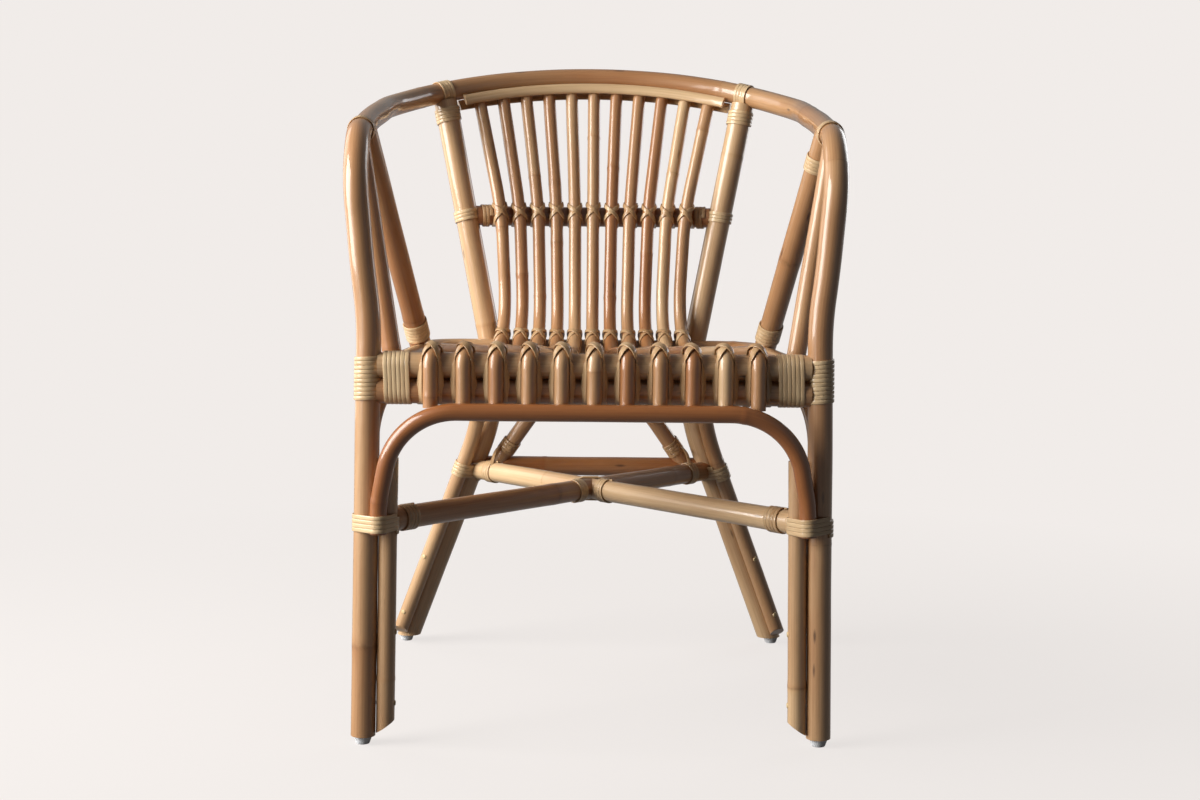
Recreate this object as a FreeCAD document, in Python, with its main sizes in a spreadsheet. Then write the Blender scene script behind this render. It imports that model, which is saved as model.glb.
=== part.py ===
"""Cane armchair: bent poles, a slatted back and seat, and peel bindings at the joints.

The frame has +Z up, the front of the chair faces -Y, and the origin lies on the floor under
the middle of the chair. Depths are measured backwards from the plane of the front legs.
"""
import FreeCAD, Part
import Sketcher
import math
import os

Vec = FreeCAD.Vector
X, Y, UP = Vec(1, 0, 0), Vec(0, 1, 0), Vec(0, 0, 1)
SIDES = (("left", -1), ("right", 1))

SIZES = {
    # Pole, rod and strip diameters
    "hoop_dia": 26.5, "back_post_dia": 29.5, "front_rail_dia": 27, "low_rail_dia": 26,
    "seat_bow_dia": 26, "front_strut_dia": 21, "rear_strut_dia": 26.5, "stretcher_dia": 25.5,
    "rear_stretcher_dia": 25, "brace_dia": 20.5, "front_arch_dia": 18.4, "side_arch_dia": 19.5,
    "doubler_dia": 20, "mid_rail_dia": 25.5, "slat_dia": 16.4, "peel_dia": 2.6,
    # Clearance between faces that touch, step between turns, and room where two strips cross
    "fit_gap": 0.3, "peel_pitch": 4.6, "cross_gap": 0.7,
    # Where a front lashing starts and ends on the slat's bend
    "lash_low_angle": 25, "lash_high_angle": 105,
    # Distance of the origin behind the front legs
    "origin_depth": 236,
    # Hoop: legs, arms and the arc of the back
    "foot_half_width": 246.5, "seat_half_width": 239.5, "leg_straight_height": 430,
    "post_half_width": 248.5, "post_depth": 2, "post_height": 543,
    "arm_foot_half_width": 254, "arm_foot_depth": 9, "arm_foot_height": 607,
    "arm_bend_half_width": 256, "arm_bend_depth": 35, "arm_bend_height": 641.5,
    "arm_front_half_width": 258, "arm_front_depth": 75, "arm_front_height": 660.5,
    "arm_mid_half_width": 257.8, "arm_mid_depth": 212, "arm_mid_height": 688.2,
    "arm_rear_half_width": 240.5, "arm_rear_depth": 370, "arm_rear_height": 718.2,
    "back_depth": 500, "back_height": 763, "back_radius": 326, "back_tilt_angle": 23,
    "back_joint_half_width": 196.5,
    # Rear legs
    "rear_foot_half_width": 249.5, "rear_foot_depth": 485,
    "waist_half_width": 121, "waist_height": 343, "waist_radius": 250,
    # Seat frame
    "front_rail_height": 409.6, "bow_height": 405, "bow_front_half_width": 222,
    "bow_rear_half_width": 205, "bow_rear_depth": 401, "bow_corner_radius": 48,
    # Front arch and front leg doublers
    "arch_corner_half_width": 207, "arch_corner_radius": 78, "arch_top_height": 363.4,
    "arch_lean_height": 264, "arch_lean_radius": 120, "band_height": 241,
    "doubler_foot_height": 12, "doubler_top_height": 311, "bevel_angle": 35,
    # Side arches
    "side_arch_front_radius": 60, "side_arch_rear_radius": 150, "side_arch_turn_angle": 58,
    # Struts under the arms
    "front_strut_seat_depth": 60, "front_strut_arm_depth": 62,
    "rear_strut_seat_depth": 290, "rear_strut_arm_depth": 112,
    # Back
    "mid_rail_height": 578, "mid_rail_sag": 22,
    "batten_height": 14, "batten_thick": 5, "batten_half_width": 177, "batten_drop": 18.5,
    # Slats
    "slat_step_front": 34.6, "slat_step_seat": 22.1, "slat_step_mid": 24.8, "slat_step_top": 31,
    "slat_saddle": 5.8, "slat_rear_radius": 90, "slat_rear_angle": 52, "slat_mid_radius": 230,
    "slat_end_height": 366,
    # Stretchers and braces
    "stretcher_height": 243, "stretcher_front_half_width": 225, "rear_stretcher_height": 247,
    "brace_foot_half_width": 128, "brace_top_half_width": 18,
    # Glides
    "glide_height": 9, "glide_top_dia": 20, "glide_foot_dia": 14, "glide_stem_dia": 4,
    "glide_stem_length": 18,
    # Screws and plugs of the leg doublers
    "screw_low_height": 45, "screw_step": 78, "screw_dia": 3.5, "screw_head_dia": 5.4,
    "screw_head_height": 2, "screw_length": 24, "plug_dia": 6, "plug_length": 3, "bore_gap": 0.2,
}
SLAT_COUNT = 11

doc = FreeCAD.newDocument("cane_armchair")
sheet = doc.addObject("Spreadsheet::Sheet", "Sizes")
for row, (alias, number) in enumerate(SIZES.items(), start=1):
    sheet.set("A%d" % row, str(number))
    sheet.setAlias("A%d" % row, alias)
doc.recompute()

nodes = {}


def size(alias):
    """Value of a driving size, in millimetres or degrees."""
    return float(sheet.get(alias))


GAP = size("fit_gap")
HOOP_R = size("hoop_dia") / 2
POST_R = size("back_post_dia") / 2
RAIL_R = size("front_rail_dia") / 2
LOW_R = size("low_rail_dia") / 2
BOW_R = size("seat_bow_dia") / 2
ARCH_R = size("front_arch_dia") / 2
SIDE_R = size("side_arch_dia") / 2
DOUBLER_R = size("doubler_dia") / 2
SLAT_R = size("slat_dia") / 2
MID_R = size("mid_rail_dia") / 2
PEEL_R = size("peel_dia") / 2
SKIN = 2 * GAP + 2 * PEEL_R


def spot(x, depth, z):
    """Point from its side distance, its depth behind the front legs and its height."""
    return Vec(x, depth - size("origin_depth"), z)


def unit(v):
    return Vec(v).normalize()


# Paths of lines and arcs

def arc_from(p, tangent, q):
    """Edge that leaves p along tangent and ends at q: a circular arc, or a line."""
    chord = q - p
    along = unit(chord)
    side = tangent - along * tangent.dot(along)
    if side.Length < 1e-5:
        return Part.LineSegment(p, q).toShape()
    half = math.acos(max(-1.0, min(1.0, tangent.dot(along))))
    middle = p + chord * 0.5 + unit(side) * (chord.Length / 2 * math.tan(half / 2))
    return Part.Arc(p, middle, q).toShape()


def biarc(p, tp, q, tq):
    """Two arcs that join p to q and keep both end directions."""
    v = q - p
    t = tp + tq
    bend = 2 * (1 - tp.dot(tq))
    if bend < 1e-9:
        if v.cross(tp).Length < 1e-6 * v.Length:
            return [Part.LineSegment(p, q).toShape()]
        d = v.dot(v) / (4 * v.dot(tp))
    else:
        d = (-v.dot(t) + math.sqrt(v.dot(t) ** 2 + bend * v.dot(v))) / bend
    joint = (p + tp * d + q - tq * d) * 0.5
    turn = unit(q - tq * d - p - tp * d)
    return [arc_from(p, tp, joint), arc_from(joint, turn, q)]


def smooth_path(points, tangents=None):
    """Biarcs through the points. A missing direction is that of the circle through the neighbours."""
    tangents = list(tangents or [None] * len(points))
    for i, given in enumerate(tangents):
        if given is None:
            a, b = points[i] - points[i - 1], points[i + 1] - points[i]
            given = unit(a) * b.Length + unit(b) * a.Length
        tangents[i] = unit(given)
    edges = []
    for i in range(len(points) - 1):
        edges += biarc(points[i], tangents[i], points[i + 1], tangents[i + 1])
    return edges


# Share of a run between two bends that their arcs may take up
FULL_RUN = 0.98


def bent_path(corners, radii):
    """Straight runs through the corners, joined by tangent arcs of the given radii.

    Where two arcs don't fit on the run between them, both shrink alike until they do.
    """
    runs = [q - p for p, q in zip(corners, corners[1:])]
    reaches = [r * math.tan(a.getAngle(b) / 2) for r, a, b in zip(radii, runs, runs[1:])]
    taken = [0.0] + reaches + [0.0]
    fits = [min(1.0, FULL_RUN * run.Length / max(a + b, 1e-9)) for run, a, b in zip(runs, taken, taken[1:])]
    edges, start = [], corners[0]
    for i, reach in enumerate(reaches, start=1):
        a, b = unit(runs[i - 1]), unit(runs[i])
        reach *= min(fits[i - 1], fits[i])
        p, q = corners[i] - a * reach, corners[i] + b * reach
        edges += [Part.LineSegment(start, p).toShape(), arc_from(p, a, q)]
        start = q
    return edges + [Part.LineSegment(start, corners[-1]).toShape()]


def mirrored(points):
    return [Vec(-p.x, p.y, p.z) for p in reversed(points)]


# Document objects

def turned_to(direction, at):
    """Placement that lays a local Z axis along direction at a point."""
    return FreeCAD.Placement(at, FreeCAD.Rotation(UP, direction))


def pole(name, diameter, edges, extra=""):
    """Round pole of a named diameter swept along a path."""
    spine = doc.addObject("Part::Feature", name + "_path")
    spine.Shape = Part.Wire(edges)
    ring = doc.addObject("Part::Circle", name + "_section")
    ring.setExpression("Radius", "Sizes.%s / 2%s" % (diameter, extra))
    first = edges[0]
    ring.Placement = turned_to(first.tangentAt(first.FirstParameter), first.valueAt(first.FirstParameter))
    body = doc.addObject("Part::Sweep", name)
    body.Sections = [ring]
    body.Spine = (spine, [])
    body.Solid = True
    body.Frenet = False
    return body


def rod(name, at, direction, radius, height):
    """Cylinder whose radius and height are expressions of the sheet."""
    body = doc.addObject("Part::Cylinder", name)
    body.setExpression("Radius", radius)
    body.setExpression("Height", height)
    body.Placement = turned_to(direction, at)
    return body


def cut(base, *tools):
    """Base with each tool taken away in turn."""
    for tool in tools:
        result = doc.addObject("Part::Cut", base.Name + "_cut")
        result.Base, result.Tool = base, tool
        base = result
    return base


def group(name, members):
    body = doc.addObject("Part::Compound", name)
    body.Links = members
    return body


def solid_from(name, shape):
    body = doc.addObject("Part::Feature", name)
    body.Shape = shape
    return body


def keep(node, body):
    """Names a finished sub-part after its node."""
    body.Label = node
    nodes[node] = body


def stop_box(name, at, direction):
    """Block that takes away everything beyond a plane."""
    block = doc.addObject("Part::Box", name)
    for side in ("Length", "Width", "Height"):
        block.setExpression(side, "6 * Sizes.hoop_dia")
    half = 3 * size("hoop_dia")
    placed = turned_to(direction, at)
    block.Placement = placed.multiply(FreeCAD.Placement(Vec(-half, -half, 0), FreeCAD.Rotation()))
    return block


# Main lines of the frame

def leg_point(side, z):
    """Point on the axis of the straight front leg."""
    share = z / size("leg_straight_height")
    x = size("foot_half_width") + (size("seat_half_width") - size("foot_half_width")) * share
    return spot(side * x, 0, z)


def leg_axis(side):
    return unit(leg_point(side, size("leg_straight_height")) - leg_point(side, 0))


TILT = math.radians(size("back_tilt_angle"))
BACKWARD = Vec(0, math.cos(TILT), math.sin(TILT))
BACK_TOP = spot(0, size("back_depth"), size("back_height"))


def hoop_arc(x):
    """Point of the hoop's back arc at a side distance, and its direction towards +X."""
    radius = size("back_radius")
    turn = math.asin(x / radius)
    at = BACK_TOP - BACKWARD * (radius * (1 - math.cos(turn))) + Vec(x, 0, 0)
    return at, Vec(math.cos(turn), 0, 0) - BACKWARD * math.sin(turn)


def named_point(side, name):
    return spot(side * size(name + "_half_width"), size(name + "_depth"), size(name + "_height"))


def post_contact():
    """Depth of the back post's axis where it stands against the rear of the seat bow."""
    return size("bow_rear_depth") + BOW_R + POST_R + GAP


def post_waist(side):
    top = hoop_arc(side * size("back_joint_half_width"))[0]
    top_depth = top.y + size("origin_depth")
    share = (size("waist_height") - size("bow_height")) / (top.z - size("bow_height"))
    depth = post_contact() + (top_depth - post_contact()) * share
    return spot(side * size("waist_half_width"), depth, size("waist_height"))


def post_foot(side):
    return spot(side * size("rear_foot_half_width"), size("rear_foot_depth"), 0)


def on_line(a, b, z):
    """Point of the line through a and b at a height."""
    return a + (b - a) * ((z - a.z) / (b.z - a.z))


def rear_leg_point(side, z):
    return on_line(post_foot(side), post_waist(side), z)


def rear_leg_axis(side):
    return unit(post_waist(side) - post_foot(side))


def post_point(side, z):
    return on_line(post_waist(side), hoop_arc(side * size("back_joint_half_width"))[0], z)


def post_axis(side):
    return unit(hoop_arc(side * size("back_joint_half_width"))[0] - post_waist(side))


def beside_leg(side):
    """Steps from the front leg's axis to the doubler and to the arch end that lie against it."""
    inward = unit(Vec(-side, 0, 0) - leg_axis(side) * Vec(-side, 0, 0).dot(leg_axis(side)))
    front = Vec(0, -1, 0)
    apart = HOOP_R + DOUBLER_R + GAP
    to_leg, to_doubler = HOOP_R + ARCH_R + GAP, DOUBLER_R + ARCH_R + GAP
    along = (apart ** 2 + to_leg ** 2 - to_doubler ** 2) / (2 * apart)
    across = math.sqrt(to_leg ** 2 - along ** 2)
    behind = HOOP_R + SIDE_R + GAP
    return inward * apart, inward * along + front * across, front * -behind


def beside_rear_leg(side):
    """Step from the rear leg's axis to the side arch that doubles it."""
    turn = math.radians(size("side_arch_turn_angle"))
    aim = Vec(side * math.cos(turn), -math.sin(turn), 0)
    axis = rear_leg_axis(side)
    return unit(aim - axis * aim.dot(axis)) * (POST_R + SIDE_R + GAP)


# Hoop

def hoop_edges():
    joint, joint_way = hoop_arc(size("back_joint_half_width"))
    half = [leg_point(1, 0), leg_point(1, size("leg_straight_height"))]
    arm = [named_point(1, n) for n in ("post", "arm_foot", "arm_bend", "arm_front", "arm_mid", "arm_rear")]
    half += arm + [joint]
    ways = [leg_axis(1), leg_axis(1), None, None, None, arm[4] - arm[3], None, None, joint_way * -1]
    left = [Vec(-p.x, p.y, p.z) for p in half]
    left_ways = [None if w is None else Vec(-w.x, w.y, w.z) for w in ways]
    right_ways = [None if w is None else w * -1 for w in reversed(ways)]
    back = Part.Arc(left[-1], BACK_TOP, joint).toShape()
    return smooth_path(left, left_ways) + [back] + smooth_path(half[::-1], right_ways)


HOOP_EDGES = hoop_edges()
HOOP_WIRE = Part.Wire(HOOP_EDGES)
BACK_LENGTH = 2 * size("back_radius") * math.asin(size("back_joint_half_width") / size("back_radius"))
hoop = pole("hoop_rail_pole", "hoop_dia", HOOP_EDGES)
hoop_relief = pole("hoop_relief", "hoop_dia", HOOP_EDGES, " + Sizes.fit_gap")
WOUND = " + 2 * Sizes.fit_gap + Sizes.peel_dia"
hoop_skin = pole("hoop_skin", "hoop_dia", HOOP_EDGES, WOUND)


def along_hoop(distance):
    """Point and direction of the hoop at a distance from its left foot."""
    for edge in HOOP_EDGES:
        if distance <= edge.Length or edge is HOOP_EDGES[-1]:
            at = edge.getParameterByLength(distance)
            return edge.valueAt(at), edge.tangentAt(at)
        distance -= edge.Length


def hoop_at_depth(side, depth):
    """Point and direction of the arm at a depth, found on the hoop's own path."""
    y = depth - size("origin_depth")
    best = None
    for edge in HOOP_EDGES:
        for p, q in zip(edge.discretize(40), edge.discretize(40)[1:]):
            if side * p.x > 0 and p.z > size("leg_straight_height") and (p.y - y) * (q.y - y) <= 0:
                best = p + (q - p) * ((y - p.y) / (q.y - p.y)), unit(q - p)
    return best


# Glides, screws and plugs

def glide(node, at):
    """Turned plastic foot with a stem, standing on the floor under a leg."""
    body = doc.addObject("PartDesign::Body", node + "_body")
    sketch = body.newObject("Sketcher::SketchObject", node + "_profile")
    plane = [f for f in body.Origin.OriginFeatures if f.Role == "XZ_Plane"][0]
    sketch.AttachmentSupport = (plane, [""])
    sketch.MapMode = "FlatFace"
    foot, top, stem = (size("glide_%s_dia" % n) / 2 for n in ("foot", "top", "stem"))
    high, tall = size("glide_height"), size("glide_height") + size("glide_stem_length")
    outline = [(0, 0), (foot, 0), (top, high), (stem, high), (stem, tall), (0, tall)]
    for a, b in zip(outline, outline[1:] + outline[:1]):
        sketch.addGeometry(Part.LineSegment(Vec(a[0], a[1], 0), Vec(b[0], b[1], 0)), False)
    for i in range(6):
        sketch.addConstraint(Sketcher.Constraint("Coincident", i, 2, (i + 1) % 6, 1))
    sketch.addConstraint(Sketcher.Constraint("Coincident", 0, 1, -1, 1))
    level, upright = "Horizontal", "Vertical"
    for i, kind in ((0, level), (2, level), (3, upright), (4, level), (5, upright)):
        sketch.addConstraint(Sketcher.Constraint(kind, i))
    drives = (("DistanceX", 0, 1, 0, 2, foot, "glide_foot_dia / 2"),
              ("DistanceX", -1, 1, 1, 2, top, "glide_top_dia / 2"),
              ("DistanceY", -1, 1, 1, 2, high, "glide_height"),
              ("DistanceX", 4, 2, 4, 1, stem, "glide_stem_dia / 2"),
              ("DistanceY", 3, 1, 3, 2, tall - high, "glide_stem_length"))
    for *ends, value, rule in drives:
        index = sketch.addConstraint(Sketcher.Constraint(*ends, value))
        sketch.setExpression("Constraints[%d]" % index, "Sizes." + rule)
    doc.recompute()
    turned = body.newObject("PartDesign::Revolution", node + "_turned")
    turned.Profile = sketch
    turned.ReferenceAxis = (sketch, ["V_Axis"])
    turned.Angle = 360
    body.Placement = FreeCAD.Placement(at, FreeCAD.Rotation())
    keep(node, body)


def glide_bore(name, at):
    return rod(name, at, UP, "Sizes.glide_stem_dia / 2 + Sizes.bore_gap",
               "Sizes.glide_height + Sizes.glide_stem_length + Sizes.bore_gap")


screws, plugs = [], []


def doubler_screw(name, on_axis, toward_leg, radius):
    """Screw from a doubling pole into the leg, its plug, and the hole for both."""
    face = on_axis - toward_leg * radius
    head_at = face + toward_leg * (size("plug_length") + size("bore_gap"))
    shank_at = head_at + toward_leg * size("screw_head_height")
    plugs.append(rod(name + "_plug", face, toward_leg, "Sizes.plug_dia / 2", "Sizes.plug_length"))
    head = rod(name + "_head", head_at, toward_leg, "Sizes.screw_head_dia / 2", "Sizes.screw_head_height")
    shank = rod(name + "_shank", shank_at, toward_leg, "Sizes.screw_dia / 2", "Sizes.screw_length")
    screw = doc.addObject("Part::Fuse", name)
    screw.Base, screw.Tool = head, shank
    screws.append(screw)
    pocket = rod(name + "_pocket", face - toward_leg * radius, toward_leg,
                 "max(Sizes.plug_dia; Sizes.screw_head_dia) / 2 + Sizes.bore_gap / 2",
                 "%s + Sizes.plug_length + Sizes.screw_head_height + 2 * Sizes.bore_gap" % radius)
    pilot = rod(name + "_pilot", shank_at - toward_leg * size("bore_gap"), toward_leg,
                "Sizes.screw_dia / 2 + Sizes.bore_gap / 2", "Sizes.screw_length + 2 * Sizes.bore_gap")
    return pocket, pilot


# Front legs: doublers, their screws, glides

hoop_cuts = []
for label, side in SIDES:
    to_doubler, to_arch, to_side = beside_leg(side)
    foot = leg_point(side, size("doubler_foot_height")) + to_doubler
    top = leg_point(side, size("doubler_top_height")) + to_doubler
    doubler = rod("front_leg_doubler_%s_pole" % label, foot, top - foot, "Sizes.doubler_dia / 2",
                  "Sizes.doubler_top_height - Sizes.doubler_foot_height")
    lean = math.radians(size("bevel_angle"))
    bevel = stop_box("front_leg_bevel_" + label, foot + unit(to_doubler) * -DOUBLER_R,
                     Vec(-side * math.sin(lean), 0, -math.cos(lean)))
    pockets = []
    for i in range(2):
        z = size("screw_low_height") + i * size("screw_step")
        pocket, pilot = doubler_screw("front_leg_screw_%s_%d" % (label, i), leg_point(side, z) + to_doubler,
                                      unit(to_doubler) * -1, DOUBLER_R)
        pockets += [pocket, pilot]
        hoop_cuts.append(pilot)
    keep("front_leg_doubler_" + label, cut(doubler, bevel, *pockets))
    floor_cut = stop_box("front_foot_cut_" + label, leg_point(side, size("glide_height")), Vec(0, 0, -1))
    ground = leg_point(side, 0)
    glide("glide_front_" + label, ground)
    hoop_cuts += [floor_cut, glide_bore("glide_front_bore_" + label, ground)]
keep("hoop_rail", cut(hoop, *hoop_cuts))


# Windings of peel

def hull_loop(circles):
    """Outline round circles, counterclockwise: points, directions and lengths of one turn.

    Each circle is (a, b, radius). Arcs are split into steps of at most a quarter turn.
    """
    if len(circles) == 1:
        order = [0]
    else:
        samples = [(a + r * math.cos(k * math.pi / 90), b + r * math.sin(k * math.pi / 90), i)
                   for i, (a, b, r) in enumerate(circles) for k in range(180)]
        order = []
        for k in range(360):
            c, s = math.cos(k * math.pi / 180), math.sin(k * math.pi / 180)
            far = max(samples, key=lambda p: p[0] * c + p[1] * s)[2]
            if not order or order[-1] != far:
                order.append(far)
        if len(order) > 1 and order[0] == order[-1]:
            order.pop()
    loop = []
    count = len(order)
    normals = []
    for i in range(count):
        (a0, b0, r0), (a1, b1, r1) = circles[order[i]], circles[order[(i + 1) % count]]
        if count == 1:
            normals.append(0.0)
            continue
        gap = math.hypot(a1 - a0, b1 - b0)
        base = math.atan2(b1 - b0, a1 - a0)
        normals.append(base - math.acos((r0 - r1) / gap))
    for i in range(count):
        a, b, r = circles[order[i]]
        start, end = normals[i - 1], normals[i]
        while end <= start + 1e-9:
            end += 2 * math.pi
        steps = max(1, math.ceil((end - start) / (math.pi / 2) - 1e-6))
        for k in range(steps + (0 if count == 1 else 1)):
            angle = start + (end - start) * k / steps
            c, s = math.cos(angle), math.sin(angle)
            loop.append(((a + r * c, b + r * s), (-s, c), r * (end - start) / steps if k < steps else None))
    return loop


def winding(circles, route, across, turns):
    """Path of a strip wound round poles: points and directions in space.

    Route gives the poles' point and direction at a distance from the middle of the winding.
    Circles lie in the plane square to that direction, with the first direction along across.
    """
    pitch = size("peel_pitch")
    skin = [(a, b, r + GAP + PEEL_R) for a, b, r in circles]
    loop = hull_loop(skin)
    lengths = []
    for i, ((a, b), way, arc) in enumerate(loop):
        (a1, b1) = loop[(i + 1) % len(loop)][0]
        lengths.append(arc if arc is not None else math.hypot(a1 - a, b1 - b))
    once = sum(lengths)
    climb = pitch / once
    points, ways, run = [], [], 0.0
    for k in range(int(round(turns * len(loop))) + 1):
        (a, b), (da, db), arc = loop[k % len(loop)]
        at, axis = route((run / once - turns / 2) * pitch)
        e = unit(across - axis * across.dot(axis))
        f = axis.cross(e)
        points.append(at + e * a + f * b)
        ways.append(unit(e * da + f * db + axis * climb))
        run += lengths[k % len(loop)]
    return points, ways


def with_ends(points, ways):
    """The same path with a straight tail of one strip width at both ends."""
    tail = 2 * PEEL_R
    return ([points[0] - ways[0] * tail] + points + [points[-1] + ways[-1] * tail],
            [ways[0]] + ways + [ways[-1]])


least_gaps = {}


def peel(node, points, ways):
    """One unbroken strip along a path, with its least gap to itself measured on points."""
    points, ways = with_ends(points, ways)
    path = Part.Wire(smooth_path(points, ways))
    ring = Part.Wire(Part.Circle(points[0], unit(ways[0]), PEEL_R).toShape())
    tube = path.makePipeShell([ring], True, False)
    step = PEEL_R
    marks = path.discretize(Distance=step)
    near = int(math.ceil(3 * math.pi * PEEL_R / step))
    for i, p in enumerate(marks):
        for q in marks[i + near:]:
            gap = (p - q).Length - 2 * PEEL_R
            if gap < least_gaps.get(node, 1e9):
                least_gaps[node] = gap
    return tube


bindings = {}


def bind(node, circles, at, axis, across, turns):
    """Strip wound round straight poles about a point on their axis."""
    axis = unit(axis)
    points, ways = winding(circles, lambda rise: (at + axis * rise, axis), across, turns)
    bindings.setdefault(node, []).append(peel(node, points, ways))


def bind_hoop(node, distance, across, turns):
    """Strip wound round the hoop about a place at a distance along it."""
    points, ways = winding([(0, 0, HOOP_R)], lambda rise: along_hoop(distance + rise), across, turns)
    bindings.setdefault(node, []).append(peel(node, points, ways))


def in_frame(at, axis, across, places):
    """Circles in the plane square to an axis, from points in space and radii."""
    axis = unit(axis)
    across = unit(across - axis * across.dot(axis))
    over = axis.cross(across)
    return [((p - at).dot(across), (p - at).dot(over), r) for p, r in places]


def wrapped_block(name, circles, at, axis, across, height):
    """Solid of a wound bundle of poles, which cuts the end of what butts against it."""
    loop = hull_loop([(a, b, r + SKIN) for a, b, r in circles])
    axis = unit(axis)
    across = unit(across - axis * across.dot(axis))
    over = axis.cross(across)

    def place(p):
        return at + across * p[0] + over * p[1] - axis * (height / 2)
    edges = []
    for i, (p, way, arc) in enumerate(loop):
        q = loop[(i + 1) % len(loop)][0]
        if arc is None:
            edges.append(Part.LineSegment(place(p), place(q)).toShape())
        else:
            edges.append(arc_from(place(p), across * way[0] + over * way[1], place(q)))
    return solid_from(name, Part.Face(Part.Wire(edges)).extrude(axis * height))


# Back posts, side arches and rear feet

for label, side in SIDES:
    joint = hoop_arc(side * size("back_joint_half_width"))[0]
    post_edges = bent_path([post_foot(side), post_waist(side), joint], [size("waist_radius")])
    post = pole("back_post_%s_pole" % label, "back_post_dia", post_edges)
    beside = beside_rear_leg(side)
    arch_behind = beside_leg(side)[2]
    under_bow = size("bow_height") - BOW_R - SIDE_R - GAP
    rear_corner = on_line(post_foot(side) + beside, post_waist(side) + beside, under_bow)
    front_corner = leg_point(side, under_bow) + arch_behind
    front_end = leg_point(side, size("band_height") - size("peel_pitch") * 2) + arch_behind
    rear_end = rear_leg_point(side, size("doubler_foot_height")) + beside
    band_top = rear_leg_point(side, size("stretcher_height") + 4 * size("peel_pitch")) + beside
    turn = (rear_corner - front_corner).getAngle(rear_end - rear_corner)
    room = (rear_corner - band_top).Length / math.tan(turn / 2)
    arch = pole("side_arch_%s_pole" % label, "side_arch_dia",
                bent_path([front_end, front_corner, rear_corner, rear_end],
                          [size("side_arch_front_radius"), min(size("side_arch_rear_radius"), room)]))
    lean = math.radians(size("bevel_angle"))
    bevel = stop_box("rear_leg_bevel_" + label, rear_end - unit(beside) * SIDE_R,
                     unit(unit(beside) * math.sin(lean) - UP * math.cos(lean)))
    pockets, pilots = [], []
    for i in range(2):
        z = size("screw_low_height") + i * size("screw_step")
        pocket, pilot = doubler_screw("rear_leg_screw_%s_%d" % (label, i),
                                      rear_leg_point(side, z) + beside, unit(beside) * -1, SIDE_R)
        pockets += [pocket, pilot]
        pilots.append(pilot)
    keep("side_arch_" + label, cut(arch, bevel, *pockets))
    ground = post_foot(side)
    floor_cut = stop_box("rear_foot_cut_" + label, rear_leg_point(side, size("glide_height")), Vec(0, 0, -1))
    glide("glide_rear_" + label, ground)
    stem_bore = glide_bore("glide_rear_bore_" + label, ground)
    keep("back_post_" + label, cut(post, hoop_skin, floor_cut, stem_bore, *pilots))

# Seat frame

low_rail_height = size("front_rail_height") - RAIL_R - LOW_R - GAP
for node, diameter, z in (("seat_front_rail_upper", "front_rail_dia", size("front_rail_height")),
                          ("seat_front_rail_lower", "low_rail_dia", low_rail_height)):
    rail = rod(node + "_pole", spot(-size("seat_half_width"), 0, z), X,
               "Sizes.%s / 2" % diameter, "2 * Sizes.seat_half_width")
    ends = [rod("%s_end_%s" % (node, label), leg_point(side, z - 2 * RAIL_R), leg_axis(side),
                "Sizes.hoop_dia / 2" + WOUND, "4 * Sizes.front_rail_dia")
            for label, side in SIDES]
    keep(node, cut(rail, *ends))

bow_half = [spot(size("bow_front_half_width"), 0, size("bow_height")),
            spot(size("bow_rear_half_width"), size("bow_rear_depth"), size("bow_height"))]
bow_edges = bent_path(bow_half + mirrored(bow_half), [size("bow_corner_radius")] * 2)
bow = pole("seat_bow_pole", "seat_bow_dia", bow_edges)
bow_relief = pole("seat_bow_relief", "seat_bow_dia", bow_edges, " + Sizes.fit_gap")
bow_skin = pole("seat_bow_skin", "seat_bow_dia", bow_edges, WOUND + " + Sizes.fit_gap")


def rail_circles(at):
    """Circles of the two front rails in the plane square to them."""
    return in_frame(at, X, UP, [(at, RAIL_R), (at + UP * (low_rail_height - at.z), LOW_R)])


rail_middle = spot(0, 0, size("front_rail_height"))
rails_block = wrapped_block("front_rails_block", rail_circles(rail_middle), rail_middle, X, UP,
                            3 * size("foot_half_width"))
leg_skins = [rod("leg_skin_" + label, leg_point(side, size("bow_height") - 2 * BOW_R), leg_axis(side),
                 "Sizes.hoop_dia / 2" + WOUND, "4 * Sizes.seat_bow_dia") for label, side in SIDES]
keep("seat_bow", cut(bow, rails_block, *leg_skins))

# Front arch

def front_arch_edges():
    corners = []
    top_depth = -(RAIL_R + 2 * SLAT_R - size("slat_saddle") + 2 * GAP + ARCH_R)
    to_arch = beside_leg(1)[1]
    corners.append(leg_point(1, size("band_height") - size("peel_pitch") * 2) + to_arch)
    corners.append(leg_point(1, size("arch_lean_height")) + to_arch)
    corners.append(spot(size("arch_corner_half_width"), top_depth, size("arch_top_height")))
    radii = [size("arch_lean_radius"), size("arch_corner_radius")]
    return bent_path(corners + mirrored(corners), radii + radii[::-1])


keep("front_arch", pole("front_arch_pole", "front_arch_dia", front_arch_edges()))

# Struts under the arms

def bow_side(side, depth):
    share = depth / size("bow_rear_depth")
    x = size("bow_front_half_width") + (size("bow_rear_half_width") - size("bow_front_half_width")) * share
    return spot(side * x, depth, size("bow_height"))


struts = {}
for label, side in SIDES:
    for place in ("front", "rear"):
        foot = bow_side(side, size(place + "_strut_seat_depth"))
        top = hoop_at_depth(side, size(place + "_strut_arm_depth"))[0]
        name = "arm_strut_%s_%s" % (place, label)
        strut = pole(name + "_pole", place + "_strut_dia", [Part.LineSegment(foot, top).toShape()])
        keep(name, cut(strut, hoop_relief, bow_relief))
        struts[name] = (foot, unit(top - foot))

# Back: bowed mid rail

def mid_rail_depth(x):
    """Depth of the mid rail's axis at a side distance."""
    end = post_point(1, size("mid_rail_height"))
    sag, half = size("mid_rail_sag"), end.x
    radius = (half ** 2 + sag ** 2) / (2 * sag)
    return end.y + size("origin_depth") + sag - radius + math.sqrt(radius ** 2 - x ** 2)


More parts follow.
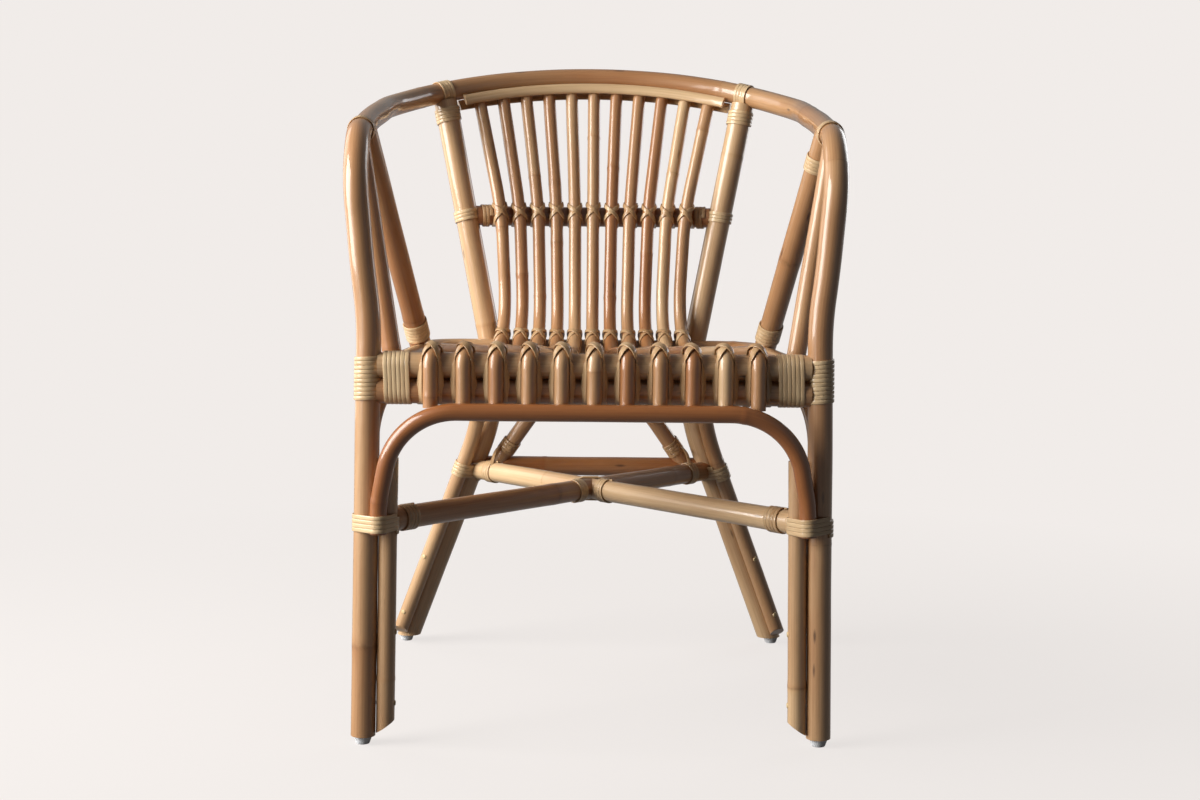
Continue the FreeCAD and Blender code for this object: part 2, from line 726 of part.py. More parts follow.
rail_ends = [spot(side * post_point(1, size("mid_rail_height")).x,
                  mid_rail_depth(post_point(1, size("mid_rail_height")).x), size("mid_rail_height"))
             for label, side in SIDES]
mid_arc = Part.Arc(rail_ends[0], spot(0, mid_rail_depth(0), size("mid_rail_height")), rail_ends[1]).toShape()
mid_rail = pole("back_mid_rail_pole", "mid_rail_dia", [mid_arc])
under_rail = size("mid_rail_height") - 2 * MID_R
mid_ends = [rod("mid_rail_end_" + label, post_point(side, under_rail), post_axis(side),
                "Sizes.back_post_dia / 2" + WOUND, "4 * Sizes.mid_rail_dia")
            for label, side in SIDES]
keep("back_mid_rail", cut(mid_rail, *mid_ends))

# Slats

RAIL_AXIS = Vec(0, -size("origin_depth"), size("front_rail_height"))
FRONT_BEND = RAIL_R + SLAT_R + GAP - size("slat_saddle")


REAR_ANGLE = math.radians(size("slat_rear_angle"))


def slat_rear_bend():
    """Radius of the slats' rear bend, whose centre stays below the lashings on the mid rail."""
    room = size("mid_rail_height") - 2 * (MID_R + SLAT_R) - size("bow_height")
    return min(size("slat_rear_radius"), room / math.sin(REAR_ANGLE) - SLAT_R - BOW_R - GAP)


def slat_corners(i):
    """Corners of one slat from its front end up to its top, and its top direction."""
    bend = slat_rear_bend()
    reach = bend + SLAT_R + BOW_R + GAP
    depth_c = size("bow_rear_depth") - reach * math.cos(REAR_ANGLE)
    height_c = size("bow_height") + reach * math.sin(REAR_ANGLE)
    x_front, x_seat, x_mid = (i * size("slat_step_" + n) for n in ("front", "seat", "mid"))
    # Seat line: touches the front bend from above and the rear bend from below
    gap = math.hypot(depth_c, height_c - size("front_rail_height"))
    slope = math.atan2(height_c - size("front_rail_height"), depth_c) - math.asin((FRONT_BEND + bend) / gap)
    along = (math.cos(slope), math.sin(slope))
    touch = (-along[1] * FRONT_BEND, size("front_rail_height") + along[0] * FRONT_BEND)
    front = spot(x_front, -FRONT_BEND, touch[1] + (-FRONT_BEND - touch[0]) * along[1] / along[0])
    # Back line: touches the rear bend from behind and lies against the front of the mid rail
    hoop_point = hoop_arc(i * size("slat_step_top"))[0]
    rail_at = spot(x_mid, mid_rail_depth(x_mid), size("mid_rail_height"))
    rail_way = spot(x_mid + 1, mid_rail_depth(x_mid + 1), size("mid_rail_height")) - rail_at
    mid = rail_at - Y * (MID_R + SLAT_R)
    for again in range(4):
        dm, hm = mid.y + size("origin_depth") - depth_c, mid.z - height_c
        lean = math.atan2(hm, dm) + math.asin(bend / math.hypot(dm, hm))
        back = (math.cos(lean), math.sin(lean))
        det = along[0] * back[1] - along[1] * back[0]
        share = ((mid.y + size("origin_depth") - touch[0]) * back[1] - (mid.z - touch[1]) * back[0]) / det
        rear = spot(x_seat, touch[0] + along[0] * share, touch[1] + along[1] * share)
        below, above = unit(mid - rear), unit(hoop_point - mid)
        bulge = size("slat_mid_radius") * (1 / math.cos(below.getAngle(above) / 2) - 1)
        mid = rail_at + unit(rail_way.cross(below + above)) * (MID_R + SLAT_R + GAP + bulge)
    top = hoop_point - above * (HOOP_R + GAP + SLAT_R * 0.6)
    return [spot(x_front, -FRONT_BEND, size("slat_end_height")), front, rear, mid, top], above


slats = {}
HALF = SLAT_COUNT // 2
rail_start = spot(-size("foot_half_width"), 0, size("front_rail_height"))
rail_relief = rod("front_rail_relief", rail_start, Vec(1, 0, 0),
                  "Sizes.front_rail_dia / 2 + Sizes.fit_gap", "2 * Sizes.foot_half_width")
low_relief = rod("low_rail_relief", spot(-size("foot_half_width"), 0, low_rail_height), Vec(1, 0, 0),
                 "Sizes.low_rail_dia / 2 + Sizes.fit_gap", "2 * Sizes.foot_half_width")
for i in range(-HALF, HALF + 1):
    corners = slat_corners(i)[0]
    node = "slat_%02d" % (i + HALF + 1)
    edges = bent_path(corners, [FRONT_BEND, slat_rear_bend(), size("slat_mid_radius")])
    keep(node, cut(pole(node + "_rod", "slat_dia", edges), rail_relief, low_relief))
    slats[i] = (corners, edges[3], edges[5])

# Battens that hold the slat tops

def batten(node, face):
    """Strip in front of (face 1) or behind (face -1) the slat tops, as straight runs slat to slat."""
    sections = []
    edge = size("batten_half_width")
    places = [-edge] + [i * size("slat_step_top") for i in range(-HALF, HALF + 1)] + [edge]
    for x in places:
        i = max(-HALF, min(HALF, x / size("slat_step_top")))
        way = slat_corners(i)[1]
        at, along = hoop_arc(x)
        front = unit(way.cross(along)) * face
        front = front if front.y * face < 0 else front * -1
        centre = at - way * size("batten_drop")
        near = centre + front * (SLAT_R + GAP)
        far = near + front * size("batten_thick")
        rise = way * (size("batten_height") / 2)
        slim = way * (size("batten_height") / 2 - size("batten_thick") / 2)
        sections.append(Part.makePolygon([near - rise, far - slim, far + slim, near + rise, near - rise]))
    keep(node, solid_from(node + "_strip", Part.makeLoft(sections, True, True)))


batten("top_batten_front", 1)
batten("top_batten_rear", -1)

# Stretchers and rear braces, cut where they butt against the wound legs

leg_bundles, rear_bundles = {}, {}
for label, side in SIDES:
    to_doubler, to_arch, to_side = beside_leg(side)
    at = leg_point(side, size("band_height"))
    places = [(at, HOOP_R), (at + to_doubler, DOUBLER_R), (at + to_arch, ARCH_R), (at + to_side, SIDE_R)]
    across = Vec(1, 0, 0)
    leg_bundles[side] = (in_frame(at, leg_axis(side), across, places), at, leg_axis(side), across)
    at = rear_leg_point(side, size("stretcher_height"))
    places = [(at, POST_R), (at + beside_rear_leg(side), SIDE_R)]
    axis = rear_leg_axis(side)
    rear_bundles[side] = (in_frame(at, axis, Vec(1, 0, 0), places), at, axis, Vec(1, 0, 0))

block_height = 4 * size("stretcher_dia")
front_blocks = {s: wrapped_block("leg_block_%d" % s, *leg_bundles[s], block_height) for s in (-1, 1)}
rear_blocks = {s: wrapped_block("rear_block_%d" % s, *rear_bundles[s], block_height) for s in (-1, 1)}

rear_half = rear_leg_point(1, size("rear_stretcher_height"))
rear_bar_edges = [Part.LineSegment(Vec(-rear_half.x, rear_half.y, rear_half.z), rear_half).toShape()]
rear_bar = pole("rear_stretcher_pole", "rear_stretcher_dia", rear_bar_edges)
rear_bar_relief = pole("rear_stretcher_relief", "rear_stretcher_dia", rear_bar_edges, " + Sizes.fit_gap")
keep("rear_stretcher", cut(rear_bar, rear_blocks[-1], rear_blocks[1]))

cross_lines = {}
for letter, side in (("a", -1), ("b", 1)):
    start = spot(side * size("stretcher_front_half_width"), 0, size("stretcher_height"))
    end = rear_leg_point(-side, size("stretcher_height"))
    cross_lines[letter] = (start, end, side)
share = size("stretcher_front_half_width") / (size("stretcher_front_half_width")
                                              + rear_leg_point(1, size("stretcher_height")).x)
crossing = cross_lines["a"][0] + (cross_lines["a"][1] - cross_lines["a"][0]) * share


def lap(name, other, below):
    """Block that takes half the height out of a stretcher where the other one crosses it."""
    start, end, side = cross_lines[other]
    block = doc.addObject("Part::Box", name)
    block.setExpression("Length", "3 * Sizes.stretcher_dia")
    block.setExpression("Width", "Sizes.stretcher_dia + 2 * Sizes.fit_gap")
    block.setExpression("Height", "Sizes.stretcher_dia")
    way = unit(end - start)
    dia = size("stretcher_dia")
    turn = FreeCAD.Placement(crossing, FreeCAD.Rotation(Vec(1, 0, 0), way))
    z = GAP / 2 - dia if below else -GAP / 2
    corner = Vec(-1.5 * dia, -dia / 2 - GAP, z)
    block.Placement = turn.multiply(FreeCAD.Placement(corner, FreeCAD.Rotation()))
    return block


for letter, other, below in (("a", "b", False), ("b", "a", True)):
    start, end, side = cross_lines[letter]
    bar = pole("cross_stretcher_%s_pole" % letter, "stretcher_dia", [Part.LineSegment(start, end).toShape()])
    keep("cross_stretcher_" + letter, cut(bar, front_blocks[side], rear_blocks[-side], rear_bar_relief,
                                          lap("lap_" + letter, other, below)))

braces = {}
for label, side in SIDES:
    low = Vec(side * size("brace_foot_half_width"), rear_half.y, rear_half.z)
    high = spot(side * size("brace_top_half_width"), size("bow_rear_depth"), size("bow_height"))
    brace = pole("rear_brace_%s_pole" % label, "brace_dia", [Part.LineSegment(low, high).toShape()])
    keep("rear_brace_" + label, cut(brace, rear_bar_relief, bow_skin))
    braces[label] = (low, unit(high - low))

keep("leg_screws", group("leg_screw_set", screws))
keep("leg_plugs", group("leg_plug_set", plugs))

# Peel bindings round single poles and round bundles of poles

for label, side in SIDES:
    # Arm, between the tops of the two struts
    arm_depth = (size("front_strut_arm_depth") + size("front_strut_dia") / 2
                 + size("rear_strut_arm_depth") - size("rear_strut_dia") / 2) / 2
    at, way = hoop_at_depth(side, arm_depth)
    bind("arm_bindings", [(0, 0, HOOP_R)], at, way, X, 3)
    # Top of the back post, over the hoop and below it
    at = hoop_arc(side * size("back_joint_half_width"))[0]
    bind_hoop("post_top_hoop_bindings", (HOOP_WIRE.Length + side * BACK_LENGTH) / 2, Y, 4)
    low = at - post_axis(side) * (HOOP_R + SKIN + 3 * size("peel_pitch"))
    bind("post_top_bindings", [(0, 0, POST_R)], low, post_axis(side), Y, 4)
    # Mid rail: round the post and round the rail's end
    at = post_point(side, size("mid_rail_height"))
    bind("mid_rail_post_bindings", [(0, 0, POST_R)], at, post_axis(side), Y, 3)
    x = side * (at.x * side - POST_R - SKIN - 1.5 * size("peel_pitch"))
    rail_at = spot(x, mid_rail_depth(abs(x)), size("mid_rail_height"))
    ahead = spot(x + 1, mid_rail_depth(abs(x + 1)), size("mid_rail_height"))
    bind("mid_rail_end_bindings", [(0, 0, MID_R)], rail_at, ahead - rail_at, Y, 2.5)
    # Seat corner: round the leg and round both front rails
    corner_height = (size("front_rail_height") + low_rail_height) / 2
    up_leg = (leg_point(side, corner_height) - leg_point(side, 0)).Length
    bind_hoop("seat_corner_post_bindings", up_leg if side < 0 else HOOP_WIRE.Length - up_leg, Y, 10)
    x = leg_point(1, corner_height).x - HOOP_R - SKIN - 3.3 * size("peel_pitch")
    at = spot(side * x, 0, size("front_rail_height"))
    bind("seat_corner_rail_bindings", rail_circles(at), at, X, UP, 6)
    # Leg bands, and the ends of the stretchers beside them
    circles, at, axis, across = leg_bundles[side]
    bind("leg_bands", circles, at, axis, across, 4)
    circles, at, axis, across = rear_bundles[side]
    bind("rear_leg_bands", circles, at, axis, across, 4)
    letter = "b" if side > 0 else "a"
    start, end, s = cross_lines[letter]
    way = unit(end - start)
    bar_r = size("stretcher_dia") / 2
    front_room = DOUBLER_R + SKIN + bar_r + 2 * size("peel_pitch")
    bind("stretcher_front_bindings", [(0, 0, bar_r)], start + way * front_room, way, UP, 4)
    rear_room = (size("rear_stretcher_dia") / 2 + bar_r + SKIN) / abs(way.y) + 2 * size("peel_pitch")
    bind("stretcher_rear_bindings", [(0, 0, bar_r)], end - way * rear_room, way, UP, 3)
    # Feet of the rear braces and of the rear struts
    low, way = braces[label]
    rise = size("rear_stretcher_dia") / 2 + size("brace_dia") / 2 + 2.5 * size("peel_pitch")
    bind("rear_brace_bindings", [(0, 0, size("brace_dia") / 2)], low + way * rise, way, Y, 4)
    foot, way = struts["arm_strut_rear_" + label]
    rise = BOW_R + size("rear_strut_dia") / 2 + 2.5 * size("peel_pitch")
    bind("strut_foot_bindings", [(0, 0, size("rear_strut_dia") / 2)], foot + way * rise, way, Y, 5)

foot, way = struts["arm_strut_rear_right"]
top = hoop_at_depth(1, size("rear_strut_arm_depth"))[0]
drop = HOOP_R + size("rear_strut_dia") / 2 + 3 * size("peel_pitch")
bind("strut_top_binding", [(0, 0, size("rear_strut_dia") / 2)], top - way * drop, way, Y, 4)

bar_r = size("stretcher_dia") / 2
for start, end, side in cross_lines.values():
    way = unit(end - start)
    room = (bar_r + SKIN) * abs(way.y / way.x) + 2 * size("peel_pitch")
    bind("cross_bindings", [(0, 0, bar_r)], crossing - way * room, way, UP, 3)
spread = bar_r / abs(way.y) - bar_r + size("peel_pitch") * abs(way.x / way.y)
bind("cross_bindings", [(-spread, 0, bar_r), (spread, 0, bar_r)], crossing, Y, Vec(1, 0, 0), 2)

# Lashings that cross over the slats

def crossed_lashing(node, slat_bend, rail_path, rail_r):
    """Strip that crosses twice over a slat's bend and passes twice round the rail behind it."""
    at, on_rail = slat_bend.distToShape(rail_path)[1][0]
    front = unit(at - on_rail)
    up = slat_bend.tangentAt(slat_bend.Curve.parameter(at))
    along = unit(up.cross(front))
    up = front.cross(along)
    rail_way = rail_path.tangentAt(rail_path.Curve.parameter(on_rail))
    rail_up = unit(front.cross(rail_way if rail_way.x > 0 else rail_way * -1))
    rail_along = rail_up.cross(front)
    side = SLAT_R + GAP + PEEL_R
    rail = -(at - on_rail).Length
    round_rail = rail_r + GAP + PEEL_R
    rear = rail - round_rail
    spread = 2 * PEEL_R + size("cross_gap")
    close = side - spread
    crest = side + spread
    turn = math.hypot(math.pi / 2, 1)
    c, s = math.pi / 2 / turn, 1 / turn
    steps = [((0, 0, rear), (0, -1, 0)), ((-close, -round_rail, rail), (0, 0, 1)),
             ((-side, -side, 0), (0, s, c)), ((0, 0, side), (c, s, 0)), ((side, side, 0), (0, s, -c)),
             ((close, round_rail, rail), (0, 0, -1)), ((1.6 * spread, 0, rear), (0, -1, 0)),
             ((close, -round_rail, rail), (0, 0, 1)), ((side, -side, 0), (0, s, c)),
             ((0, 0, crest), (-c, s, 0)), ((-side, side, 0), (0, s, -c)),
             ((-close, round_rail, rail), (0, 0, -1)), ((-1.6 * spread, 0, rear), (0, -1, 0))]
    points, ways = [], []
    for (u, w, n), (tu, tw, tn) in steps:
        e, f = (rail_along, rail_up) if n <= rail else (along, up)
        points.append(at + e * u + f * w + front * n)
        ways.append(e * tu + f * tw + front * tn)
    bindings.setdefault(node, []).append(peel(node, points, ways))


def front_lashing(node, front, rear):
    """Strip that crosses over a slat's front bend and goes down round the lower rail on both sides."""
    side = SLAT_R + GAP + PEEL_R
    up_r, low_r = RAIL_R + GAP + PEEL_R, LOW_R + GAP + PEEL_R
    raised = 2 * PEEL_R + size("cross_gap")
    ahead = unit(Vec(rear.x - front.x, rear.y - front.y, 0))
    across = ahead.cross(UP)
    drop = Vec(front.x, front.y, size("front_rail_height"))
    low = low_rail_height - size("front_rail_height")

    def over_bend(turn, lap, lift):
        """Point beside or over the bend: turn round the slat, lap round the rail, both in degrees."""
        a, b = math.radians(turn), math.radians(lap)
        reach = side + lift * math.cos(a) ** 2
        out = FRONT_BEND + reach * math.cos(a)
        return drop + across * (reach * math.sin(a)) + ahead * (FRONT_BEND - out * math.cos(b)) + UP * (
            out * math.sin(b))

    def crossing_over(first_lap, last_lap, lift):
        points, ways = [], []
        for k in range(5):
            spots = [over_bend(-90 + 45 * k + e, first_lap + (last_lap - first_lap) * (k + e / 45) / 4, lift)
                     for e in (-1, 0, 1)]
            points.append(spots[1])
            ways.append(spots[2] - spots[0])
        for k, lap in ((0, first_lap), (4, last_lap)):
            b = math.radians(lap)
            ways[k] = (ahead * math.sin(b) + UP * math.cos(b)) * math.copysign(1, last_lap - first_lap)
        return points, ways

    def beside(u, depth, z):
        return Vec(front.x + u, depth - size("origin_depth"), size("front_rail_height") + z)

    def leg(u):
        return [beside(u, low_r, low), beside(u, 0, low - low_r), beside(u, -low_r, low)]
    first, first_ways = crossing_over(size("lash_low_angle"), size("lash_high_angle"), 0)
    second, second_ways = crossing_over(size("lash_high_angle"), size("lash_low_angle"), raised)
    behind = drop + ahead * (FRONT_BEND + up_r + raised) + UP * (FRONT_BEND - side - 2 * PEEL_R)
    points = leg(-side) + first + [behind] + second + leg(side)[::-1]
    ways = ([UP * -1, Y * -1, UP] + first_ways + [across * -1] + second_ways + [UP * -1, Y, UP])
    bindings.setdefault(node, []).append(peel(node, points, ways))


for corners, rear_bend, mid_bend in slats.values():
    crossed_lashing("slat_lashings_back", mid_bend, mid_arc, MID_R)
    crossed_lashing("slat_lashings_seat", rear_bend, bow_edges[2], BOW_R)
    front_lashing("slat_lashings_front", *corners[1:3])

for node, tubes in bindings.items():
    keep(node, solid_from(node + "_strips", Part.Compound(tubes)))
    print("%s: least gap to itself %.2f mm" % (node, least_gaps[node]))

# Checks and files

doc.recompute()
failed = [o.Label for o in doc.Objects if "Invalid" in o.State or "Error" in o.State]
failed += [n for n, o in nodes.items() if o.Shape.isNull() or not o.Shape.isValid()]
if failed:
    raise RuntimeError("not built: " + ", ".join(failed))
os.makedirs("parts", exist_ok=True)
for node, body in nodes.items():
    body.Shape.exportStep("parts/%s.step" % node)
print(len(nodes), "sub-parts")
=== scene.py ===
"""Cane armchair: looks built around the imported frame.

Poles and slats are bent canes with growth rings, the bindings are flat strips of peel, and
every surface has a lacquered cane, peel, wood or plastic finish made of nodes.
Lengths in the layout are millimetres. Depths are measured backwards from the front legs.
"""
import math
import random

import bmesh
import bpy
from mathutils import Matrix, Vector


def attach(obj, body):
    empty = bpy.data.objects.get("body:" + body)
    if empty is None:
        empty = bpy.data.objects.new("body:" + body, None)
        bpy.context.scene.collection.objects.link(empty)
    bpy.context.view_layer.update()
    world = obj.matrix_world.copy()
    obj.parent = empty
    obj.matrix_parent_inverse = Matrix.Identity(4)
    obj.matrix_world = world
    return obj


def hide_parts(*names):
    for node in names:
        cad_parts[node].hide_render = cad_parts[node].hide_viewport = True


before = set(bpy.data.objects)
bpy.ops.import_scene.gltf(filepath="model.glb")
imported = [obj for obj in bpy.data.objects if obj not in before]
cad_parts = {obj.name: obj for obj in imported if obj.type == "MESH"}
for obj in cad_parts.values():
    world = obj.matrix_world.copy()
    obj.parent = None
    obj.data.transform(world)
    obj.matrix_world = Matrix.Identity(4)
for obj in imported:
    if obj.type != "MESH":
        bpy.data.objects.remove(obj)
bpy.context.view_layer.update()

bl_info = {
    "name": "Cane armchair",
    "version": (1, 0, 0),
    "blender": (4, 5, 0),
    "location": "View3D > Sidebar > Chair",
    "description": "Builds a lacquered cane armchair with peel bindings",
    "category": "Object",
}

MM = 0.001
BODY = "root"
X, Y, UP = Vector((1, 0, 0)), Vector((0, 1, 0)), Vector((0, 0, 1))
SIDES = (("left", -1), ("right", 1))

# Diameters of the canes
DIA = {
    "hoop": 26.5, "back_post": 29.5, "front_rail": 27, "low_rail": 26, "seat_bow": 26,
    "front_strut": 21, "rear_strut": 26.5, "stretcher": 25.5, "rear_stretcher": 25, "brace": 20.5,
    "front_arch": 18.4, "side_arch": 19.5, "doubler": 20, "mid_rail": 25.5, "slat": 16.4,
}
R = {name: dia / 2 for name, dia in DIA.items()}

# Places of the bends and joints
ORIGIN_DEPTH = 236
GAP = 0.3
PITCH = 4.6
FOOT_X, SEAT_X, LEG_STRAIGHT = 246.5, 239.5, 430
HOOP_POINTS = ((248.5, 2, 543), (254, 9, 607), (256, 35, 641.5), (258, 75, 660.5), (257.8, 212, 688.2),
               (240.5, 370, 718.2))
BACK_DEPTH, BACK_HEIGHT, BACK_RADIUS, BACK_TILT = 500, 763, 326, math.radians(23)
JOINT_X = 196.5
REAR_FOOT_X, REAR_FOOT_DEPTH = 249.5, 485
WAIST_X, WAIST_Z, WAIST_BEND = 121, 343, 250
RAIL_Z, BOW_Z, RAIL_SWELL = 409.6, 405, 0.7
LOW_Z = RAIL_Z - R["front_rail"] - R["low_rail"] - GAP
BOW_FRONT_X, BOW_REAR_X, BOW_DEPTH, BOW_BEND = 222, 205, 401, 48
ARCH_X, ARCH_BEND, ARCH_Z, ARCH_LEAN_Z, ARCH_LEAN_BEND = 207, 78, 363.4, 264, 120
BAND_Z = 241
DOUBLER_FOOT, DOUBLER_TOP, BEVEL = 12, 311, math.radians(35)
SIDE_FRONT_BEND, SIDE_REAR_BEND, SIDE_TURN = 60, 150, math.radians(58)
STRUTS = {"front": (60, 62), "rear": (290, 112)}
MID_Z, MID_SAG = 578, 22
BATTEN_WIDE, BATTEN_THICK, BATTEN_END, BATTEN_DROP = 14, 5, 177, 18.5
SLAT_STEP = {"front": 34.6, "seat": 22.1, "mid": 24.8, "top": 31}
SLAT_SADDLE, SLAT_REAR_BEND, SLAT_REAR_ANGLE, SLAT_MID_BEND = 5.8, 90, math.radians(52), 230
SLAT_END_Z, HALF = 366, 5
STRETCHER_Z, STRETCHER_X, REAR_STRETCHER_Z = 243, 225, 247
BRACE_FOOT_X, BRACE_TOP_X = 128, 18
GLIDE_HEIGHT = 9
SCREW_LOW, SCREW_STEP = 45, 78

# Bindings: room that a strip takes up beside a cane, turns of each, and turns round both stretchers
SKIN = 3.2
TURNS = {
    "arm_bindings": 3, "post_top_hoop_bindings": 4, "post_top_bindings": 4, "mid_rail_post_bindings": 3,
    "mid_rail_end_bindings": 2.5, "seat_corner_post_bindings": 10, "seat_corner_rail_bindings": 6,
    "leg_bands": 4, "rear_leg_bands": 4, "stretcher_front_bindings": 4, "stretcher_rear_bindings": 3,
    "rear_brace_bindings": 4, "strut_foot_bindings": 5, "strut_top_binding": 4, "cross_bindings": 3,
}
CROSS_TURNS = 2

# How far a cane's end goes into the cane that it meets, and the room before a doubler
TUCK, DEEP_TUCK, DOUBLER_ROOM = 2, 3, 2

# Outlines of the glides and the plugs, as radii and heights
GLIDE_OUTLINE = ((6.2, 0), (7.0, 0.25), (7.5, 1.0), (8.6, 4.2), (9.4, 6.6), (9.9, 7.4), (10, 8.0),
                 (9.8, 8.7), (9.3, GLIDE_HEIGHT), (2.2, GLIDE_HEIGHT), (2.0, GLIDE_HEIGHT + 18))
PLUG_OUTLINE = ((3.0, -3.0), (3.0, 0.4), (2.6, 0.8), (1.4, 1.05))

# Tones of the canes, from 0 for pale to 1 for russet
TONES = {
    "hoop_rail": 0.5, "back_post_left": 0.22, "back_post_right": 0.12,
    "side_arch_left": 0.38, "side_arch_right": 0.42,
    "front_leg_doubler_left": 0.34, "front_leg_doubler_right": 0.2,
    "seat_front_rail_upper": 0.27, "seat_front_rail_lower": 0.55, "seat_bow": 0.5, "front_arch": 1.1,
    "arm_strut_front_left": 0.6, "arm_strut_front_right": 0.3,
    "arm_strut_rear_left": 0.66, "arm_strut_rear_right": 0.5, "back_mid_rail": 0.85,
    "slat_01": 0.5, "slat_02": 0.56, "slat_03": 0.5, "slat_04": 0.52, "slat_05": 0.42, "slat_06": 0.46,
    "slat_07": 0.85, "slat_08": 0.46, "slat_09": 0.85, "slat_10": 0.16, "slat_11": 0.48,
    "cross_stretcher_a": 0.6, "cross_stretcher_b": 0.06, "rear_stretcher": 0.9,
    "rear_brace_left": 0.58, "rear_brace_right": 0.58,
}
BATTEN_TONE = 0.05

# Tones of the peel, from 0 for straw to 1 for tan: most pieces, the others, and how far strips differ
PEEL_TONE = 0.12
PEEL_TONES = {
    "mid_rail_end_bindings": 0.6, "rear_brace_bindings": 0.7, "stretcher_front_bindings": 0.75,
    "stretcher_rear_bindings": 0.4, "arm_bindings": 0.25, "cross_bindings": 0.3,
    "slat_lashings_back": 0.6, "slat_lashings_seat": 0.6, "slat_lashings_front": 0.6,
}
PEEL_SPREAD = 0.16

# Fineness of the paths and the meshes, and rounds in which a slat settles on the mid rail
PATH_STEP, PATH_TURN, ROUND_TURN = 2.5, 0.12, math.radians(9)
HOOP_STEPS, MID_STEPS, BATTEN_STEPS, LASH_STEPS, HOOD_STEPS = 80, 100, 80, 9, 7
CANE_STEP, POLE_SIDES, THIN_SIDES, SLAT_SIDES, PEEL_SIDES = 0.0028, 28, 24, 22, 16
GLIDE_SIDES, PLUG_SIDES, BATTEN_SIDES = 40, 24, 12
SHARP, SLAT_ROUNDS = math.radians(55), 4

# Share of a run between two bends that their arcs may take up
FULL_RUN = 0.98


class CaneSettings(bpy.types.PropertyGroup):
    """Shape and finish of the canes."""
    ring_spacing: bpy.props.FloatProperty(
        name="Ring spacing", description="Mean distance between growth rings",
        default=0.32, min=0.03, subtype="DISTANCE", unit="LENGTH")
    ring_swell: bpy.props.FloatProperty(
        name="Ring swell", description="How far a growth ring stands out",
        default=0.0004, min=0, precision=5, subtype="DISTANCE", unit="LENGTH")
    ring_width: bpy.props.FloatProperty(
        name="Ring width", description="Half length of a growth ring's swelling",
        default=0.0045, min=0.0005, precision=5, subtype="DISTANCE", unit="LENGTH")
    waver: bpy.props.FloatProperty(
        name="Waver", description="How far a cane strays from its true line",
        default=0.0006, min=0, precision=5, subtype="DISTANCE", unit="LENGTH")
    pale: bpy.props.FloatVectorProperty(
        name="Pale cane", description="Colour of the palest canes", subtype="COLOR",
        default=(0.775, 0.545, 0.31), min=0, max=1)
    honey: bpy.props.FloatVectorProperty(
        name="Honey cane", description="Colour of most canes", subtype="COLOR",
        default=(0.515, 0.28, 0.13), min=0, max=1)
    russet: bpy.props.FloatVectorProperty(
        name="Russet cane", description="Colour of the reddest canes", subtype="COLOR",
        default=(0.355, 0.124, 0.031), min=0, max=1)
    gloss: bpy.props.FloatProperty(
        name="Lacquer gloss", description="Weight of the clear lacquer",
        default=0.85, min=0, max=1, subtype="FACTOR")


class PeelSettings(bpy.types.PropertyGroup):
    """Shape and finish of the peel strips."""
    width: bpy.props.FloatProperty(
        name="Strip width", description="Width of the peel in the wound bindings",
        default=0.0046, min=0.001, precision=5, subtype="DISTANCE", unit="LENGTH")
    lash_width: bpy.props.FloatProperty(
        name="Lashing width", description="Width of the peel that crosses the slats",
        default=0.0053, min=0.001, precision=5, subtype="DISTANCE", unit="LENGTH")
    hood_width: bpy.props.FloatProperty(
        name="Front lashing width", description="Width of the peel over the slats' front bends",
        default=0.0080, min=0.001, precision=5, subtype="DISTANCE", unit="LENGTH")
    thickness: bpy.props.FloatProperty(
        name="Strip thickness", description="Thickness of the peel",
        default=0.0017, min=0.0004, precision=5, subtype="DISTANCE", unit="LENGTH")
    straw: bpy.props.FloatVectorProperty(
        name="Straw peel", description="Colour of the palest peel", subtype="COLOR",
        default=(0.85, 0.645, 0.39), min=0, max=1)
    tan: bpy.props.FloatVectorProperty(
        name="Tan peel", description="Colour of the darkest peel", subtype="COLOR",
        default=(0.43, 0.23, 0.095), min=0, max=1)


class StageSettings(bpy.types.PropertyGroup):
    """Floor, light and camera."""
    backdrop: bpy.props.FloatVectorProperty(
        name="Backdrop", description="Colour of the floor and the backdrop", subtype="COLOR",
        default=(0.879, 0.839, 0.815), min=0, max=1)
    key: bpy.props.FloatProperty(
        name="Key light", description="Power of the large light at the front left",
        default=118.0, min=0, subtype="POWER", unit="POWER")
    fill: bpy.props.FloatProperty(
        name="Fill light", description="Power of the weak light at the right",
        default=1.2, min=0, subtype="POWER", unit="POWER")
    lens: bpy.props.FloatProperty(
        name="Lens", description="Focal length of the camera", default=50, min=10, unit="CAMERA")


# Paths: lists of points, in millimetres

def spot(x, depth, z):
    """Point from its side distance, its depth behind the front legs and its height."""
    return Vector((x, depth - ORIGIN_DEPTH, z))


def unit(v):
    """Vector of length 1 in a direction."""
    return Vector(v).normalized()


def square_to(v, axis):
    """Direction of what is left of v without its part along an axis."""
    return unit(v - axis * v.dot(axis))


def way_at(points, i):
    """Direction of a path at one of its points."""
    return unit(points[min(i + 1, len(points) - 1)] - points[max(i - 1, 0)])


def flip(v):
    """The same point on the other side of the chair."""
    return Vector((-v.x, v.y, v.z))


def both_sides(half):
    """Points of the right half, and then those of the left half back to the start."""
    return half + [flip(p) for p in reversed(half)]


def arc_points(p, tangent, q):
    """Points after p on the arc that leaves p along tangent and ends at q."""
    chord = q - p
    along = chord.normalized()
    side = tangent - along * tangent.dot(along)
    count = max(1, math.ceil(chord.length / PATH_STEP))
    if side.length < 1e-5:
        return [p.lerp(q, k / count) for k in range(1, count + 1)]
    half = tangent.angle(along)
    radius = chord.length / (2 * math.sin(half))
    inward = square_to(along, tangent)
    centre = p + inward * radius
    count = max(count, math.ceil(2 * half / PATH_TURN))
    turns = [2 * half * k / count for k in range(1, count + 1)]
    return [centre - inward * (radius * math.cos(a)) + tangent * (radius * math.sin(a)) for a in turns]


